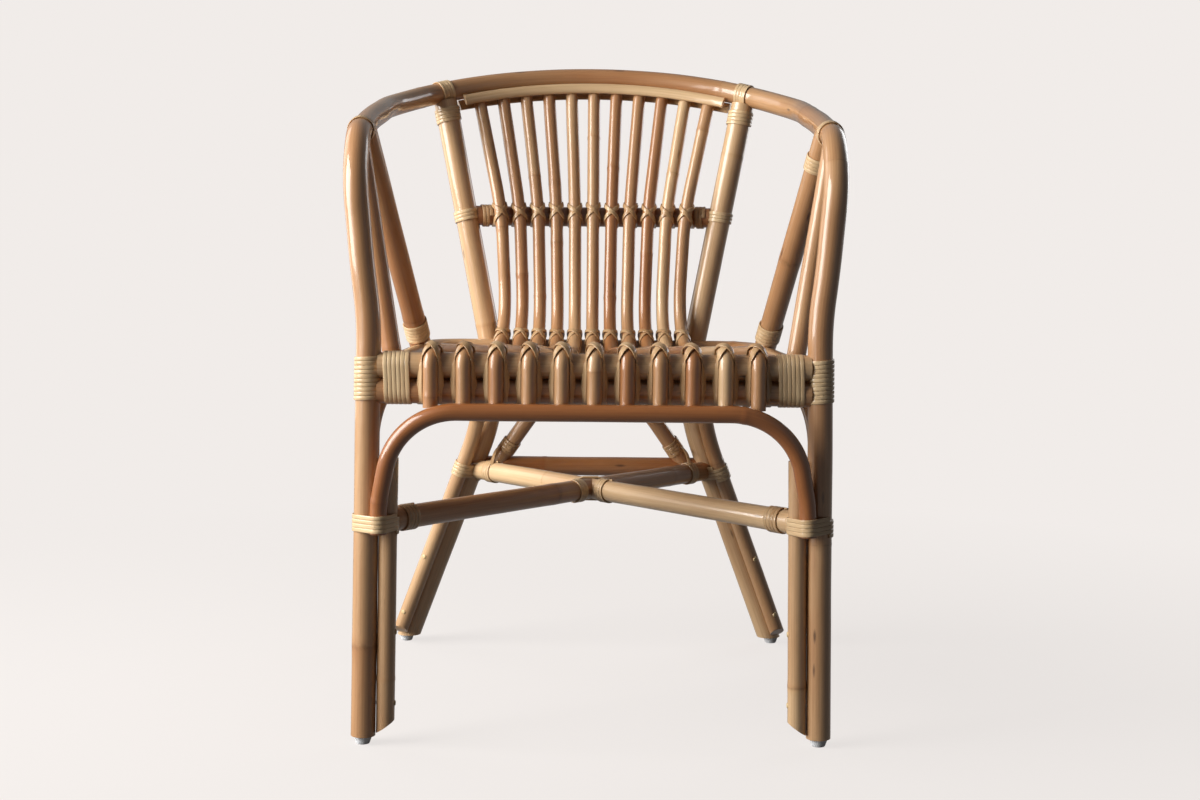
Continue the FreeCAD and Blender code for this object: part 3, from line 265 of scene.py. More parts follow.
def biarc_points(p, tp, q, tq):
    """Points after p on two arcs that keep both end directions."""
    v, t = q - p, tp + tq
    bend = 2 * (1 - tp.dot(tq))
    if bend < 1e-9:
        if v.cross(tp).length < 1e-6 * v.length:
            return arc_points(p, tp, q)
        d = v.dot(v) / (4 * v.dot(tp))
    else:
        d = (-v.dot(t) + math.sqrt(v.dot(t) ** 2 + bend * v.dot(v))) / bend
    joint = (p + tp * d + q - tq * d) / 2
    return arc_points(p, tp, joint) + arc_points(joint, unit(q - tq * d - p - tp * d), q)


def smooth_path(points, tangents):
    """Arcs through the points. A missing direction is that of the circle through the neighbours."""
    ways = []
    for i, given in enumerate(tangents):
        if given is None:
            a, b = points[i] - points[i - 1], points[i + 1] - points[i]
            given = unit(a) * b.length + unit(b) * a.length
        ways.append(unit(given))
    path = [points[0]]
    for i in range(len(points) - 1):
        path += biarc_points(points[i], ways[i], points[i + 1], ways[i + 1])
    return path


def bent_path(corners, radii):
    """Straight runs through the corners, joined by tangent arcs of the given radii.

    Where two arcs don't fit on the run between them, both shrink alike until they do.
    """
    runs = [q - p for p, q in zip(corners, corners[1:])]
    reaches = [r * math.tan(a.angle(b) / 2) for r, a, b in zip(radii, runs, runs[1:])]
    taken = [0.0] + reaches + [0.0]
    fits = [min(1.0, FULL_RUN * run.length / max(a + b, 1e-9)) for run, a, b in zip(runs, taken, taken[1:])]
    path, start = [corners[0]], corners[0]
    for i, reach in enumerate(reaches, start=1):
        a, b = unit(runs[i - 1]), unit(runs[i])
        reach *= min(fits[i - 1], fits[i])
        p, q = corners[i] - a * reach, corners[i] + b * reach
        path += arc_points(start, a, p) + arc_points(p, a, q)
        start = q
    return path + arc_points(start, unit(corners[-1] - start), corners[-1])


def straight(p, q, trim_p=0.0, trim_q=0.0):
    """Straight run between two points, less a trim at each end."""
    way = unit(q - p)
    p, q = p + way * trim_p, q - way * trim_q
    return [p] + arc_points(p, way, q)


# Main lines of the frame

def leg_point(side, z):
    """Point of a front leg's axis at a height."""
    return spot(side * (FOOT_X + (SEAT_X - FOOT_X) * z / LEG_STRAIGHT), 0, z)


def leg_axis(side):
    """Direction of a front leg, upwards."""
    return unit(leg_point(side, LEG_STRAIGHT) - leg_point(side, 0))


BACKWARD = Vector((0, math.cos(BACK_TILT), math.sin(BACK_TILT)))
BACK_TOP = spot(0, BACK_DEPTH, BACK_HEIGHT)


def hoop_arc(x):
    """Point of the hoop's back arc at a side distance, and its direction towards +X."""
    turn = math.asin(x / BACK_RADIUS)
    at = BACK_TOP - BACKWARD * (BACK_RADIUS * (1 - math.cos(turn))) + X * x
    return at, X * math.cos(turn) - BACKWARD * math.sin(turn)


def hoop_path():
    """Points of the hoop from the left foot over the back to the right foot."""
    joint, way = hoop_arc(JOINT_X)
    half = [leg_point(1, GLIDE_HEIGHT), leg_point(1, LEG_STRAIGHT)]
    arm = [spot(*p) for p in HOOP_POINTS]
    half += arm + [joint]
    ways = [leg_axis(1), leg_axis(1), None, None, None, arm[4] - arm[3], None, None, way * -1]
    right = smooth_path(half, ways)
    back = [hoop_arc(-JOINT_X + 2 * JOINT_X * k / HOOP_STEPS)[0] for k in range(1, HOOP_STEPS)]
    return [flip(p) for p in right] + back + right[::-1]


HOOP = hoop_path()


def hoop_at_depth(side, depth):
    """Point and direction of the arm at a depth."""
    y = depth - ORIGIN_DEPTH
    best = None
    for p, q in zip(HOOP, HOOP[1:]):
        if side * p.x > 0 and p.z > LEG_STRAIGHT and (p.y - y) * (q.y - y) <= 0 and p.y != q.y:
            best = p.lerp(q, (y - p.y) / (q.y - p.y)), unit(q - p)
    return best


def on_line(a, b, z):
    """Point at a height on the line through two points."""
    return a.lerp(b, (z - a.z) / (b.z - a.z))


def post_top(side):
    """Point of the hoop's axis over a back post."""
    return hoop_arc(side * JOINT_X)[0]


def post_waist(side):
    """Corner of a back post's bend below the seat. The run above it passes close behind the seat bow."""
    contact = BOW_DEPTH + R["seat_bow"] + R["back_post"] + GAP
    top = post_top(side)
    share = (WAIST_Z - BOW_Z) / (top.z - BOW_Z)
    return spot(side * WAIST_X, contact + (top.y + ORIGIN_DEPTH - contact) * share, WAIST_Z)


def post_foot(side):
    """Point of a rear leg's axis on the floor."""
    return spot(side * REAR_FOOT_X, REAR_FOOT_DEPTH, 0)


def rear_leg_point(side, z):
    """Point of a rear leg's axis at a height."""
    return on_line(post_foot(side), post_waist(side), z)


def rear_leg_axis(side):
    """Direction of a rear leg, upwards."""
    return unit(post_waist(side) - post_foot(side))


def post_point(side, z):
    """Point of a back post's axis above its waist at a height."""
    return on_line(post_waist(side), post_top(side), z)


def post_axis(side):
    """Direction of a back post above its waist, upwards."""
    return unit(post_top(side) - post_waist(side))


def beside_leg(side):
    """Steps from the front leg's axis to the doubler, the arch end and the side arch."""
    inward = square_to(Vector((-side, 0, 0)), leg_axis(side))
    apart = R["hoop"] + R["doubler"] + GAP
    to_leg, to_doubler = R["hoop"] + R["front_arch"] + GAP, R["doubler"] + R["front_arch"] + GAP
    along = (apart ** 2 + to_leg ** 2 - to_doubler ** 2) / (2 * apart)
    across = math.sqrt(to_leg ** 2 - along ** 2)
    return inward * apart, inward * along - Y * across, Y * (R["hoop"] + R["side_arch"] + GAP)


def beside_rear_leg(side):
    """Step from the rear leg's axis to the side arch."""
    aim = Vector((side * math.cos(SIDE_TURN), -math.sin(SIDE_TURN), 0))
    return square_to(aim, rear_leg_axis(side)) * (R["back_post"] + R["side_arch"] + GAP)


def bow_side(side, depth):
    """Point of a side run of the seat bow at a depth."""
    return spot(side * (BOW_FRONT_X + (BOW_REAR_X - BOW_FRONT_X) * depth / BOW_DEPTH), depth, BOW_Z)


MID_HALF = post_point(1, MID_Z).x
MID_RADIUS = (MID_HALF ** 2 + MID_SAG ** 2) / (2 * MID_SAG)


def mid_point(x):
    """Point on the mid rail's axis at a side distance."""
    end = post_point(1, MID_Z).y + ORIGIN_DEPTH
    return spot(x, end + MID_SAG - MID_RADIUS + math.sqrt(MID_RADIUS ** 2 - x ** 2), MID_Z)


FRONT_BEND = R["front_rail"] + R["slat"] + GAP - SLAT_SADDLE


def slat_corners(i):
    """Corners of one slat from its front end up to its top, and its top direction."""
    bend = SLAT_REAR_BEND
    reach = bend + R["slat"] + R["seat_bow"] + GAP
    depth_c = BOW_DEPTH - reach * math.cos(SLAT_REAR_ANGLE)
    height_c = BOW_Z + reach * math.sin(SLAT_REAR_ANGLE)
    x_front, x_seat, x_mid = (i * SLAT_STEP[n] for n in ("front", "seat", "mid"))
    gap = math.hypot(depth_c, height_c - RAIL_Z)
    slope = math.atan2(height_c - RAIL_Z, depth_c) - math.asin((FRONT_BEND + bend) / gap)
    along = (math.cos(slope), math.sin(slope))
    touch = (-along[1] * FRONT_BEND, RAIL_Z + along[0] * FRONT_BEND)
    front = spot(x_front, -FRONT_BEND, touch[1] + (-FRONT_BEND - touch[0]) * along[1] / along[0])
    hoop_point = hoop_arc(i * SLAT_STEP["top"])[0]
    rail_at = mid_point(x_mid)
    rail_way = mid_point(x_mid + 1) - rail_at
    mid = rail_at - Y * (R["mid_rail"] + R["slat"])
    for again in range(SLAT_ROUNDS):
        dm, hm = mid.y + ORIGIN_DEPTH - depth_c, mid.z - height_c
        lean = math.atan2(hm, dm) + math.asin(bend / math.hypot(dm, hm))
        back = (math.cos(lean), math.sin(lean))
        det = along[0] * back[1] - along[1] * back[0]
        share = ((mid.y + ORIGIN_DEPTH - touch[0]) * back[1] - (mid.z - touch[1]) * back[0]) / det
        rear = spot(x_seat, touch[0] + along[0] * share, touch[1] + along[1] * share)
        below, above = unit(mid - rear), unit(hoop_point - mid)
        bulge = SLAT_MID_BEND * (1 / math.cos(below.angle(above) / 2) - 1)
        mid = rail_at + unit(rail_way.cross(below + above)) * (R["mid_rail"] + R["slat"] + GAP + bulge)
    top = hoop_point - above * (R["hoop"] + GAP)
    return [spot(x_front, -FRONT_BEND, SLAT_END_Z), front, rear, mid, top], above


def slat_path(i):
    """Points of one slat from its front end up to its top."""
    return bent_path(slat_corners(i)[0], [FRONT_BEND, SLAT_REAR_BEND, SLAT_MID_BEND])


def strut_line(side, place):
    """Foot and top of an arm strut, on the axes of the seat bow and the arm."""
    seat_depth, arm_depth = STRUTS[place]
    return bow_side(side, seat_depth), hoop_at_depth(side, arm_depth)[0]


def cross_line(side):
    """Ends of a crossed stretcher, from the front leg of one side to the rear leg of the other."""
    return spot(side * STRETCHER_X, 0, STRETCHER_Z), rear_leg_point(-side, STRETCHER_Z)


def crossing(side):
    """Point where the stretchers cross, and the direction of one of them."""
    start, end = cross_line(side)
    return start.lerp(end, STRETCHER_X / (STRETCHER_X + abs(end.x))), unit(end - start)


def rear_bar_end():
    """Right end of the rear stretcher, on the leg's axis."""
    return rear_leg_point(1, REAR_STRETCHER_Z)


def brace_line(side):
    """Ends of a rear brace, on the axes of the rear stretcher and the seat bow."""
    end = rear_bar_end()
    return Vector((side * BRACE_FOOT_X, end.y, end.z)), spot(side * BRACE_TOP_X, BOW_DEPTH, BOW_Z)


# Wound and crossed strips of peel: points with the direction that faces away from the cane

def hull_loop(circles):
    """Outline round circles, counterclockwise: points, outward directions and run so far."""
    order = [0]
    if len(circles) > 1:
        order = []
        for k in range(360):
            c, s = math.cos(math.radians(k)), math.sin(math.radians(k))
            reaches = [a * c + b * s + r for a, b, r in circles]
            far = reaches.index(max(reaches))
            if not order or order[-1] != far:
                order.append(far)
        if len(order) > 1 and order[0] == order[-1]:
            order.pop()
    normals = []
    for i, here in enumerate(order):
        (a0, b0, r0), (a1, b1, r1) = circles[here], circles[order[(i + 1) % len(order)]]
        if len(order) == 1:
            normals.append(0.0)
        else:
            apart = math.hypot(a1 - a0, b1 - b0)
            normals.append(math.atan2(b1 - b0, a1 - a0) - math.acos((r0 - r1) / apart))
    loop = []
    for i, here in enumerate(order):
        a, b, r = circles[here]
        start, end = normals[i - 1], normals[i]
        while end <= start + 1e-9:
            end += 2 * math.pi
        steps = max(2, math.ceil((end - start) / ROUND_TURN))
        for k in range(steps + (len(order) > 1)):
            angle = start + (end - start) * k / steps
            c, s = math.cos(angle), math.sin(angle)
            loop.append((a + r * c, b + r * s, c, s))
    runs, run = [], 0.0
    for i, p in enumerate(loop):
        runs.append(run)
        q = loop[(i + 1) % len(loop)]
        run += math.hypot(q[0] - p[0], q[1] - p[1])
    return loop, runs, run


def winding(circles, route, across, turns, lift):
    """Points and outward directions of a strip wound round canes.

    Route gives the canes' point and direction at a distance from the middle of the winding.
    """
    loop, runs, once = hull_loop([(a, b, r + lift) for a, b, r in circles])
    points, faces = [], []
    for k in range(int(turns * len(loop)) + 1):
        lap, i = divmod(k, len(loop))
        a, b, c, s = loop[i]
        at, axis = route(((lap * once + runs[i]) / once - turns / 2) * PITCH)
        e = square_to(across, axis)
        f = axis.cross(e)
        points.append(at + e * a + f * b)
        faces.append(e * c + f * s)
    return points, faces


def in_plane(at, axis, across, places):
    """Circles in the plane square to an axis, from points and radii."""
    e = square_to(across, axis)
    f = axis.cross(e)
    return [((p - at).dot(e), (p - at).dot(f), r) for p, r in places]


def eased(knots, steps=LASH_STEPS):
    """Dense points and outward directions through knots of point, direction and outward."""
    points, faces = [], []
    for (p, tp, fp), (q, tq, fq) in zip(knots, knots[1:]):
        reach = (q - p).length
        for k in range(steps):
            t = k / steps
            h1, h2 = 2 * t ** 3 - 3 * t ** 2 + 1, t ** 3 - 2 * t ** 2 + t
            h3, h4 = 3 * t ** 2 - 2 * t ** 3, t ** 3 - t ** 2
            points.append(p * h1 + unit(tp) * (h2 * reach) + q * h3 + unit(tq) * (h4 * reach))
            faces.append(unit(fp.lerp(fq, t)))
    points.append(knots[-1][0])
    faces.append(unit(knots[-1][2]))
    return points, faces


# Geometry node trees

class Graph:
    """Short way to add nodes to a tree and link them."""

    def __init__(self, tree):
        self.tree = tree

    def put(self, socket, value):
        """Links a socket to another one or sets its value, unless that is None."""
        if isinstance(value, bpy.types.NodeSocket):
            self.tree.links.new(value, socket)
        elif value is not None:
            socket.default_value = value

    def add(self, kind, *values, out=0, **settings):
        """Node of a kind, with its settings and its enabled inputs filled in order."""
        node = self.tree.nodes.new(kind)
        for name, value in settings.items():
            setattr(node, name, value)
        shown = [s for s in node.inputs if s.enabled]
        for socket, value in zip(shown, values):
            self.put(socket, value)
        return [s for s in node.outputs if s.enabled][out]

    def math(self, operation, a, b=None):
        return self.add("ShaderNodeMath", a, b, operation=operation)

    def vmath(self, operation, a, b=None):
        return self.add("ShaderNodeVectorMath", a, b, operation=operation)


def new_tree(name, inputs):
    """Empty geometry tree with named inputs, as (graph, input sockets by name)."""
    tree = bpy.data.node_groups.new(name, "GeometryNodeTree")
    tree.interface.new_socket("Geometry", in_out="INPUT", socket_type="NodeSocketGeometry")
    tree.interface.new_socket("Geometry", in_out="OUTPUT", socket_type="NodeSocketGeometry")
    for label, kind in inputs:
        tree.interface.new_socket(label, in_out="INPUT", socket_type="NodeSocket" + kind)
    entry = tree.nodes.new("NodeGroupInput")
    return Graph(tree), {s.name: s for s in entry.outputs if s.name}


def close_tree(g, mesh, material):
    """Ends a tree with a smooth, real mesh of one material."""
    smooth = g.add("GeometryNodeSetShadeSmooth", mesh)
    real = g.add("GeometryNodeRealizeInstances", smooth)
    done = g.add("GeometryNodeSetMaterial", real, None, material)
    g.put(g.tree.nodes.new("NodeGroupOutput").inputs[0], done)


def keep_attribute(g, geometry, name, value, kind="FLOAT"):
    """Geometry with a value stored on its points."""
    return g.add("GeometryNodeStoreNamedAttribute", geometry, None, name, value,
                 data_type=kind, domain="POINT")


def named(g, name, kind="FLOAT"):
    """Stored value of a name."""
    return g.add("GeometryNodeInputNamedAttribute", name, data_type=kind)


def line_noise(g, along, rate, seed, detail):
    """Noise along a line."""
    return g.add("ShaderNodeTexNoise", g.math("ADD", g.math("MULTIPLY", along, rate), seed), 1.0, detail,
                 noise_dimensions="1D")


def varied(g, value, noise, amount):
    """Value moved up and down by a noise."""
    return g.math("ADD", value, g.math("MULTIPLY", g.math("SUBTRACT", noise, 0.5), amount))


# How often and how far a cane's ring spacing, girth and line vary, how far the tones of its lengths
# differ, and what sets the grain of one cane or strip apart from that of the next
SPACING_RATE, SPACING_SHARE = 3.1, 1.2
GIRTH_RATE, GIRTH_LEAST, GIRTH_SPREAD = 9.0, 0.985, 0.03
WAVER_RATE, WAVER_SPAN = 7.0, 2.0
LENGTH_TONES = 0.22
CANE_SHIFT, PEEL_SHIFT = 1.7, 0.37
# Below 1, rounds the edges of a strip less
PEEL_EDGE = 0.55


def cane_tree():
    """Cane along a line: growth rings, slight waver and uneven girth."""
    g, put = new_tree("Bent cane", (
        ("Radius", "Float"), ("Ring Spacing", "Float"), ("Ring Phase", "Float"), ("Ring Swell", "Float"),
        ("Ring Width", "Float"), ("Waver", "Float"), ("Seed", "Float"), ("Sides", "Int"),
        ("Step", "Float"), ("Tone", "Float"), ("Material", "Material")))
    spacing, seed, radius = put["Ring Spacing"], put["Seed"], put["Radius"]
    line = g.add("GeometryNodeMeshToCurve", put["Geometry"])
    line = g.add("GeometryNodeResampleCurve", line, None, put["Step"], mode="LENGTH")
    along = g.add("GeometryNodeSplineParameter", out=1)
    drift = line_noise(g, along, SPACING_RATE, seed, 0.0)
    shifted = varied(g, along, drift, g.math("MULTIPLY", spacing, SPACING_SHARE))
    turns = g.math("DIVIDE", g.math("ADD", shifted, put["Ring Phase"]), spacing)
    off = g.math("ABSOLUTE", g.math("SUBTRACT", g.math("FRACT", turns), 0.5))
    near = g.math("DIVIDE", g.math("MULTIPLY", off, spacing), put["Ring Width"])
    ring = g.math("EXPONENT", g.math("MULTIPLY", g.math("MULTIPLY", near, near), -1.0))
    uneven = line_noise(g, along, GIRTH_RATE, seed, 1.0)
    girth = g.math("ADD", GIRTH_LEAST, g.math("MULTIPLY", uneven, GIRTH_SPREAD))
    girth = g.math("ADD", g.math("MULTIPLY", radius, girth), g.math("MULTIPLY", ring, put["Ring Swell"]))
    place = g.add("GeometryNodeInputPosition")
    stray = g.add("ShaderNodeTexNoise", place, seed, WAVER_RATE, 1.0, noise_dimensions="4D", out=1)
    stray = g.vmath("SUBTRACT", stray, (0.5, 0.5, 0.5))
    stray = g.vmath("SCALE", stray, g.math("MULTIPLY", put["Waver"], WAVER_SPAN))
    length = g.math("FLOOR", g.math("ADD", turns, 0.5))
    own = g.add("ShaderNodeTexWhiteNoise", g.math("ADD", length, seed), noise_dimensions="1D")
    line = keep_attribute(g, line, "along", along)
    line = keep_attribute(g, line, "ring", ring)
    line = keep_attribute(g, line, "tone", varied(g, put["Tone"], own, LENGTH_TONES))
    line = g.add("GeometryNodeSetPosition", line, None, None, stray)
    outline = g.add("GeometryNodeCurvePrimitiveCircle", put["Sides"], 1.0)
    turn = g.math("MULTIPLY", g.add("GeometryNodeSplineParameter"), 2 * math.pi)
    outline = keep_attribute(g, outline, "turn", turn)
    tube = g.add("GeometryNodeCurveToMesh", line, outline, girth, True)
    turn = named(g, "turn")
    grain = g.add("ShaderNodeCombineXYZ", g.math("MULTIPLY", g.math("COSINE", turn), radius),
                  g.math("MULTIPLY", g.math("SINE", turn), radius),
                  g.math("ADD", named(g, "along"), g.math("MULTIPLY", seed, CANE_SHIFT)))
    tube = keep_attribute(g, tube, "grain", grain, "FLOAT_VECTOR")
    close_tree(g, tube, put["Material"])


def peel_tree():
    """Flat strip of peel along a line, turned so that its face looks outward."""
    g, put = new_tree("Peel strip", (
        ("Width", "Float"), ("Thickness", "Float"), ("Seed", "Float"), ("Tone", "Float"),
        ("Material", "Material")))
    line = g.add("GeometryNodeMeshToCurve", put["Geometry"])
    line = g.add("GeometryNodeSetCurveNormal", line, None, named(g, "outward", "FLOAT_VECTOR"), mode="FREE")
    line = keep_attribute(g, line, "along", g.add("GeometryNodeSplineParameter", out=1))
    outline = g.add("GeometryNodeCurvePrimitiveCircle", PEEL_SIDES, 1.0)
    place = g.add("GeometryNodeInputPosition")
    across = g.add("ShaderNodeSeparateXYZ", place, out=1)
    outline = keep_attribute(g, outline, "edge", g.math("ABSOLUTE", across))
    square = []
    for k in range(2):
        side = g.add("ShaderNodeSeparateXYZ", place, out=k)
        far = g.math("POWER", g.math("ABSOLUTE", side), PEEL_EDGE)
        square.append(g.math("MULTIPLY", g.math("SIGN", side), far))
    outline = g.add("GeometryNodeSetPosition", outline, None, g.add("ShaderNodeCombineXYZ", *square, 0.0))
    flat = g.add("ShaderNodeCombineXYZ", g.math("MULTIPLY", put["Thickness"], 0.5),
                 g.math("MULTIPLY", put["Width"], 0.5), 1.0)
    outline = g.add("GeometryNodeTransform", outline, None, None, flat)
    outline = keep_attribute(g, outline, "across", across)
    strip = g.add("GeometryNodeCurveToMesh", line, outline, 1.0, True)
    grain = g.add("ShaderNodeCombineXYZ", named(g, "across"), g.math("MULTIPLY", put["Seed"], PEEL_SHIFT),
                  g.math("ADD", named(g, "along"), put["Seed"]))
    strip = keep_attribute(g, strip, "grain", grain, "FLOAT_VECTOR")
    strip = keep_attribute(g, strip, "tone", put["Tone"])
    close_tree(g, strip, put["Material"])


def dowel_tree():
    """Domed wooden plugs on points, each turned along its own direction."""
    g, put = new_tree("Dowel plugs", (("Plug", "Object"), ("Material", "Material")))
    info = g.add("GeometryNodeObjectInfo", put["Plug"], out=4)
    way = named(g, "outward", "FLOAT_VECTOR")
    turn = g.add("FunctionNodeAlignRotationToVector", None, 1.0, way, axis="Z")
    dots = g.add("GeometryNodeMeshToPoints", put["Geometry"])
    plugs = g.add("GeometryNodeInstanceOnPoints", dots, None, info, None, None, turn)
    close_tree(g, plugs, put["Material"])


# Objects

def line_mesh(name, path, outs=None):
    """Mesh of an open line, in metres, with an outward direction on every point."""
    mesh = bpy.data.meshes.new(name)
    mesh.from_pydata([p * MM for p in path], [(k, k + 1) for k in range(len(path) - 1)], [])
    store = mesh.attributes.new("outward", "FLOAT_VECTOR", "POINT")
    store.data.foreach_set("vector", [c for out in outs or [UP] * len(path) for c in out])
    return mesh


def plain_mesh(bm, name):
    """Mesh from a bmesh, which is freed."""
    mesh = bpy.data.meshes.new(name)
    bm.to_mesh(mesh)
    bm.free()
    return mesh


def skinned(bm, rings, name):
    """Smooth closed mesh over rings of points."""
    for a, b in zip(rings, rings[1:]):
        for k in range(len(a)):
            n = (k + 1) % len(a)
            bm.faces.new((a[k], a[n], b[n], b[k]))
    bm.faces.new(rings[0][::-1])
    bm.faces.new(rings[-1])
    bmesh.ops.recalc_face_normals(bm, faces=bm.faces[:])
    for f in bm.faces:
        f.smooth = True
    return plain_mesh(bm, name)


def turned_mesh(name, outline, sides):
    """Mesh of an outline of radii and heights turned about the Z axis."""
    bm = bmesh.new()
    turns = [2 * math.pi * k / sides for k in range(sides)]
    rings = [[bm.verts.new((radius * math.cos(a) * MM, radius * math.sin(a) * MM, height * MM))
              for a in turns] for radius, height in outline]
    return skinned(bm, rings, name)


def show(name, data):
    """New object in the scene."""
    body = bpy.data.objects.new(name, data)
    bpy.context.scene.collection.objects.link(body)
    return body


def grown(name, mesh, tree_name, values):
    """Runs a geometry tree on a mesh and returns the plain mesh that it makes."""
    tree = bpy.data.node_groups[tree_name]
    body = show(name, mesh)
    modifier = body.modifiers.new("Grow", "NODES")
    modifier.node_group = tree
    for item in tree.interface.items_tree:
        if item.in_out == "INPUT" and item.name in values:
            modifier[item.identifier] = values[item.name]
    bpy.context.view_layer.update()
    seen = body.evaluated_get(bpy.context.evaluated_depsgraph_get())
    plain = bpy.data.meshes.new_from_object(seen)
    bpy.data.objects.remove(body)
    plain.name = name
    return plain


def ready(body, node):
    """Sets a finished piece into the frame in place of its CAD node."""
    body.data.set_sharp_from_angle(angle=SHARP)
    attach(body, BODY)
    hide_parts(node)


def cut_end(mesh, at, direction):
    """Takes away what lies beyond a plane and closes the cut."""
    bm = bmesh.new()
    bm.from_mesh(mesh)
    found = bmesh.ops.bisect_plane(bm, geom=bm.verts[:] + bm.edges[:] + bm.faces[:], dist=1e-6,
                                   plane_co=at * MM, plane_no=direction, clear_outer=True)
    edges = [e for e in found["geom_cut"] if isinstance(e, bmesh.types.BMEdge)]
    bmesh.ops.holes_fill(bm, edges=edges)
    bm.to_mesh(mesh)
    bm.free()


# Ranges of the seeds, and of the shares by which ring spacing and swell differ between canes
SEEDS, SPACING_SHARES, SWELL_SHARES = (0, 40), (0.8, 1.25), (0.7, 1.2)


def cane(node, path, radius, cuts=(), sides=POLE_SIDES):
    """One bent cane in place of a CAD node."""
    look = bpy.context.scene.chair_cane
    draw = random.Random(node)
    mesh = grown(node, line_mesh(node + "_line", path), "Bent cane", {
        "Radius": radius * MM, "Ring Spacing": look.ring_spacing * draw.uniform(*SPACING_SHARES),
        "Ring Phase": draw.uniform(0, 1), "Ring Swell": look.ring_swell * draw.uniform(*SWELL_SHARES),
        "Ring Width": look.ring_width, "Waver": look.waver, "Seed": draw.uniform(*SEEDS), "Sides": sides,
        "Step": CANE_STEP, "Tone": TONES[node], "Material": bpy.data.materials["Lacquered cane"]})
    for at, direction in cuts:
        cut_end(mesh, at, direction)
    ready(show(node + "_cane", mesh), node)


def peel_piece(node, strips, width):
    """Strips of peel in place of a CAD node of windings."""
    look = bpy.context.scene.chair_peel
    material = bpy.data.materials["Cane peel"]
    tone = PEEL_TONES.get(node, PEEL_TONE)
    draw = random.Random(node)
    joined = bmesh.new()
    for points, faces in strips:
        outs = [square_to(face, way_at(points, i)) for i, face in enumerate(faces)]
        part = grown(node, line_mesh(node + "_line", points, outs), "Peel strip", {
            "Width": width, "Thickness": look.thickness, "Seed": draw.uniform(*SEEDS),
            "Tone": min(1.0, max(0.0, tone + draw.uniform(-PEEL_SPREAD, PEEL_SPREAD))),
            "Material": material})
        joined.from_mesh(part)
        bpy.data.meshes.remove(part)
    mesh = plain_mesh(joined, node)
    mesh.materials.append(material)
    ready(show(node + "_peel", mesh), node)


# Share of a batten's thickness that its dome takes up, and share of its width that its back has
BATTEN_DOME, BATTEN_BACK = 0.72, 0.92


def batten(node, points, outs):
    """Half-round strip with a flat back, along a line."""
    turns = [math.pi * (k / BATTEN_SIDES - 0.5) for k in range(BATTEN_SIDES + 1)]
    dome = [(0.5 - BATTEN_DOME * (1 - math.cos(a)), math.sin(a)) for a in turns]
    outline = [(-0.5, -BATTEN_BACK)] + dome + [(-0.5, BATTEN_BACK)]
    bm = bmesh.new()
    grain = bm.verts.layers.float_vector.new("grain")
    rings, run = [], 0.0
    for i, (p, face) in enumerate(zip(points, outs)):
        wide = way_at(points, i).cross(face).normalized() * (BATTEN_WIDE / 2)
        ring = []
        for a, b in outline:
            v = bm.verts.new((p + face * (a * BATTEN_THICK) + wide * b) * MM)
            v[grain] = Vector((a * BATTEN_THICK, b * BATTEN_WIDE / 2, run)) * MM
            ring.append(v)
        rings.append(ring)
        run += (points[min(i + 1, len(points) - 1)] - p).length
    mesh = skinned(bm, rings, node)
    for name, value in (("tone", BATTEN_TONE), ("ring", 0.0)):
        store = mesh.attributes.new(name, "FLOAT", "POINT")
        store.data.foreach_set("value", [value] * len(mesh.vertices))
    mesh.materials.append(bpy.data.materials["Lacquered cane"])
    ready(show(node + "_strip", mesh), node)


# Finishes

# Cane stains: streaks, fibres, growth rings, scars, specks. Peel: streaks, and painted shade along strip
# edges
STREAK, FIBRE, RING = (0.66, 0.52, 0.4), (0.74, 0.6, 0.46), (0.86, 0.68, 0.46)
SCAR, SPECK = (0.16, 0.075, 0.03), (0.07, 0.03, 0.012)
PEEL_STREAK, PEEL_RIM_SHADE = (0.6, 0.44, 0.28), (0.5, 0.38, 0.25)
# Glides, their mist and their scuffs, plugs and their grain, screws and their wear
GLIDE, GLIDE_MIST, GLIDE_SCUFF = (0.92, 0.94, 0.97), (0.84, 0.86, 0.9), (0.6, 0.6, 0.6)
PLUG, PLUG_GRAIN = (0.82, 0.63, 0.34), (0.62, 0.42, 0.2)
ZINC, ZINC_WEAR = (0.55, 0.55, 0.54), (0.4, 0.39, 0.37)


def shader(name):
    """New material, as (graph, principled shader)."""
    material = bpy.data.materials.new(name)
    material.use_nodes = True
    return Graph(material.node_tree), material.node_tree.nodes["Principled BSDF"]


def dress(g, surface, sockets):
    """Fills a shader's sockets by their names."""
    for name, value in sockets.items():
        g.put(surface.inputs[name], value)


def raised(g, height, strength, distance):
    """Normal of a surface with a fine relief."""
    bump = g.add("ShaderNodeBump", strength, distance)
    g.put(bump.node.inputs["Height"], height)
    return bump


def attribute(g, name, out=2):
    """Stored value in a finish, as a factor, or as a vector with out=1."""
    node = g.tree.nodes.new("ShaderNodeAttribute")
    node.attribute_name = name
    return node.outputs[out]


def object_place(g):
    """Place on an object, in metres."""
    return g.add("ShaderNodeTexCoord", out=3)


def ramp(g, factor, *colours):
    """Colours at even steps of a factor."""
    node = g.tree.nodes.new("ShaderNodeValToRGB")
    g.put(node.inputs[0], factor)
    stops = node.color_ramp.elements
    while len(stops) < len(colours):
        stops.new(0.5)
    for k, (stop, colour) in enumerate(zip(stops, colours)):
        stop.position = k / (len(colours) - 1)
        stop.color = (*colour, 1)
    return node.outputs[0]


def mixed(g, factor, a, b, blend="MIX"):
    """Mix of two colours, each a tuple or a socket."""
    node = g.tree.nodes.new("ShaderNodeMix")
    node.data_type = "RGBA"
    node.blend_type = blend
    g.put(node.inputs[0], factor)
    for socket, value in ((node.inputs[6], a), (node.inputs[7], b)):
        g.put(socket, (*value, 1) if isinstance(value, tuple) else value)
    return node.outputs[2]


def stretched_noise(g, vector, across, along, detail=3.0, shift=0.0):
    """Noise drawn out along the cane."""
    spread = g.vmath("MULTIPLY", vector, (across, across, along))
    spread = g.vmath("ADD", spread, (shift, shift, shift))
    return g.add("ShaderNodeTexNoise", spread, 1.0, detail, 0.55)


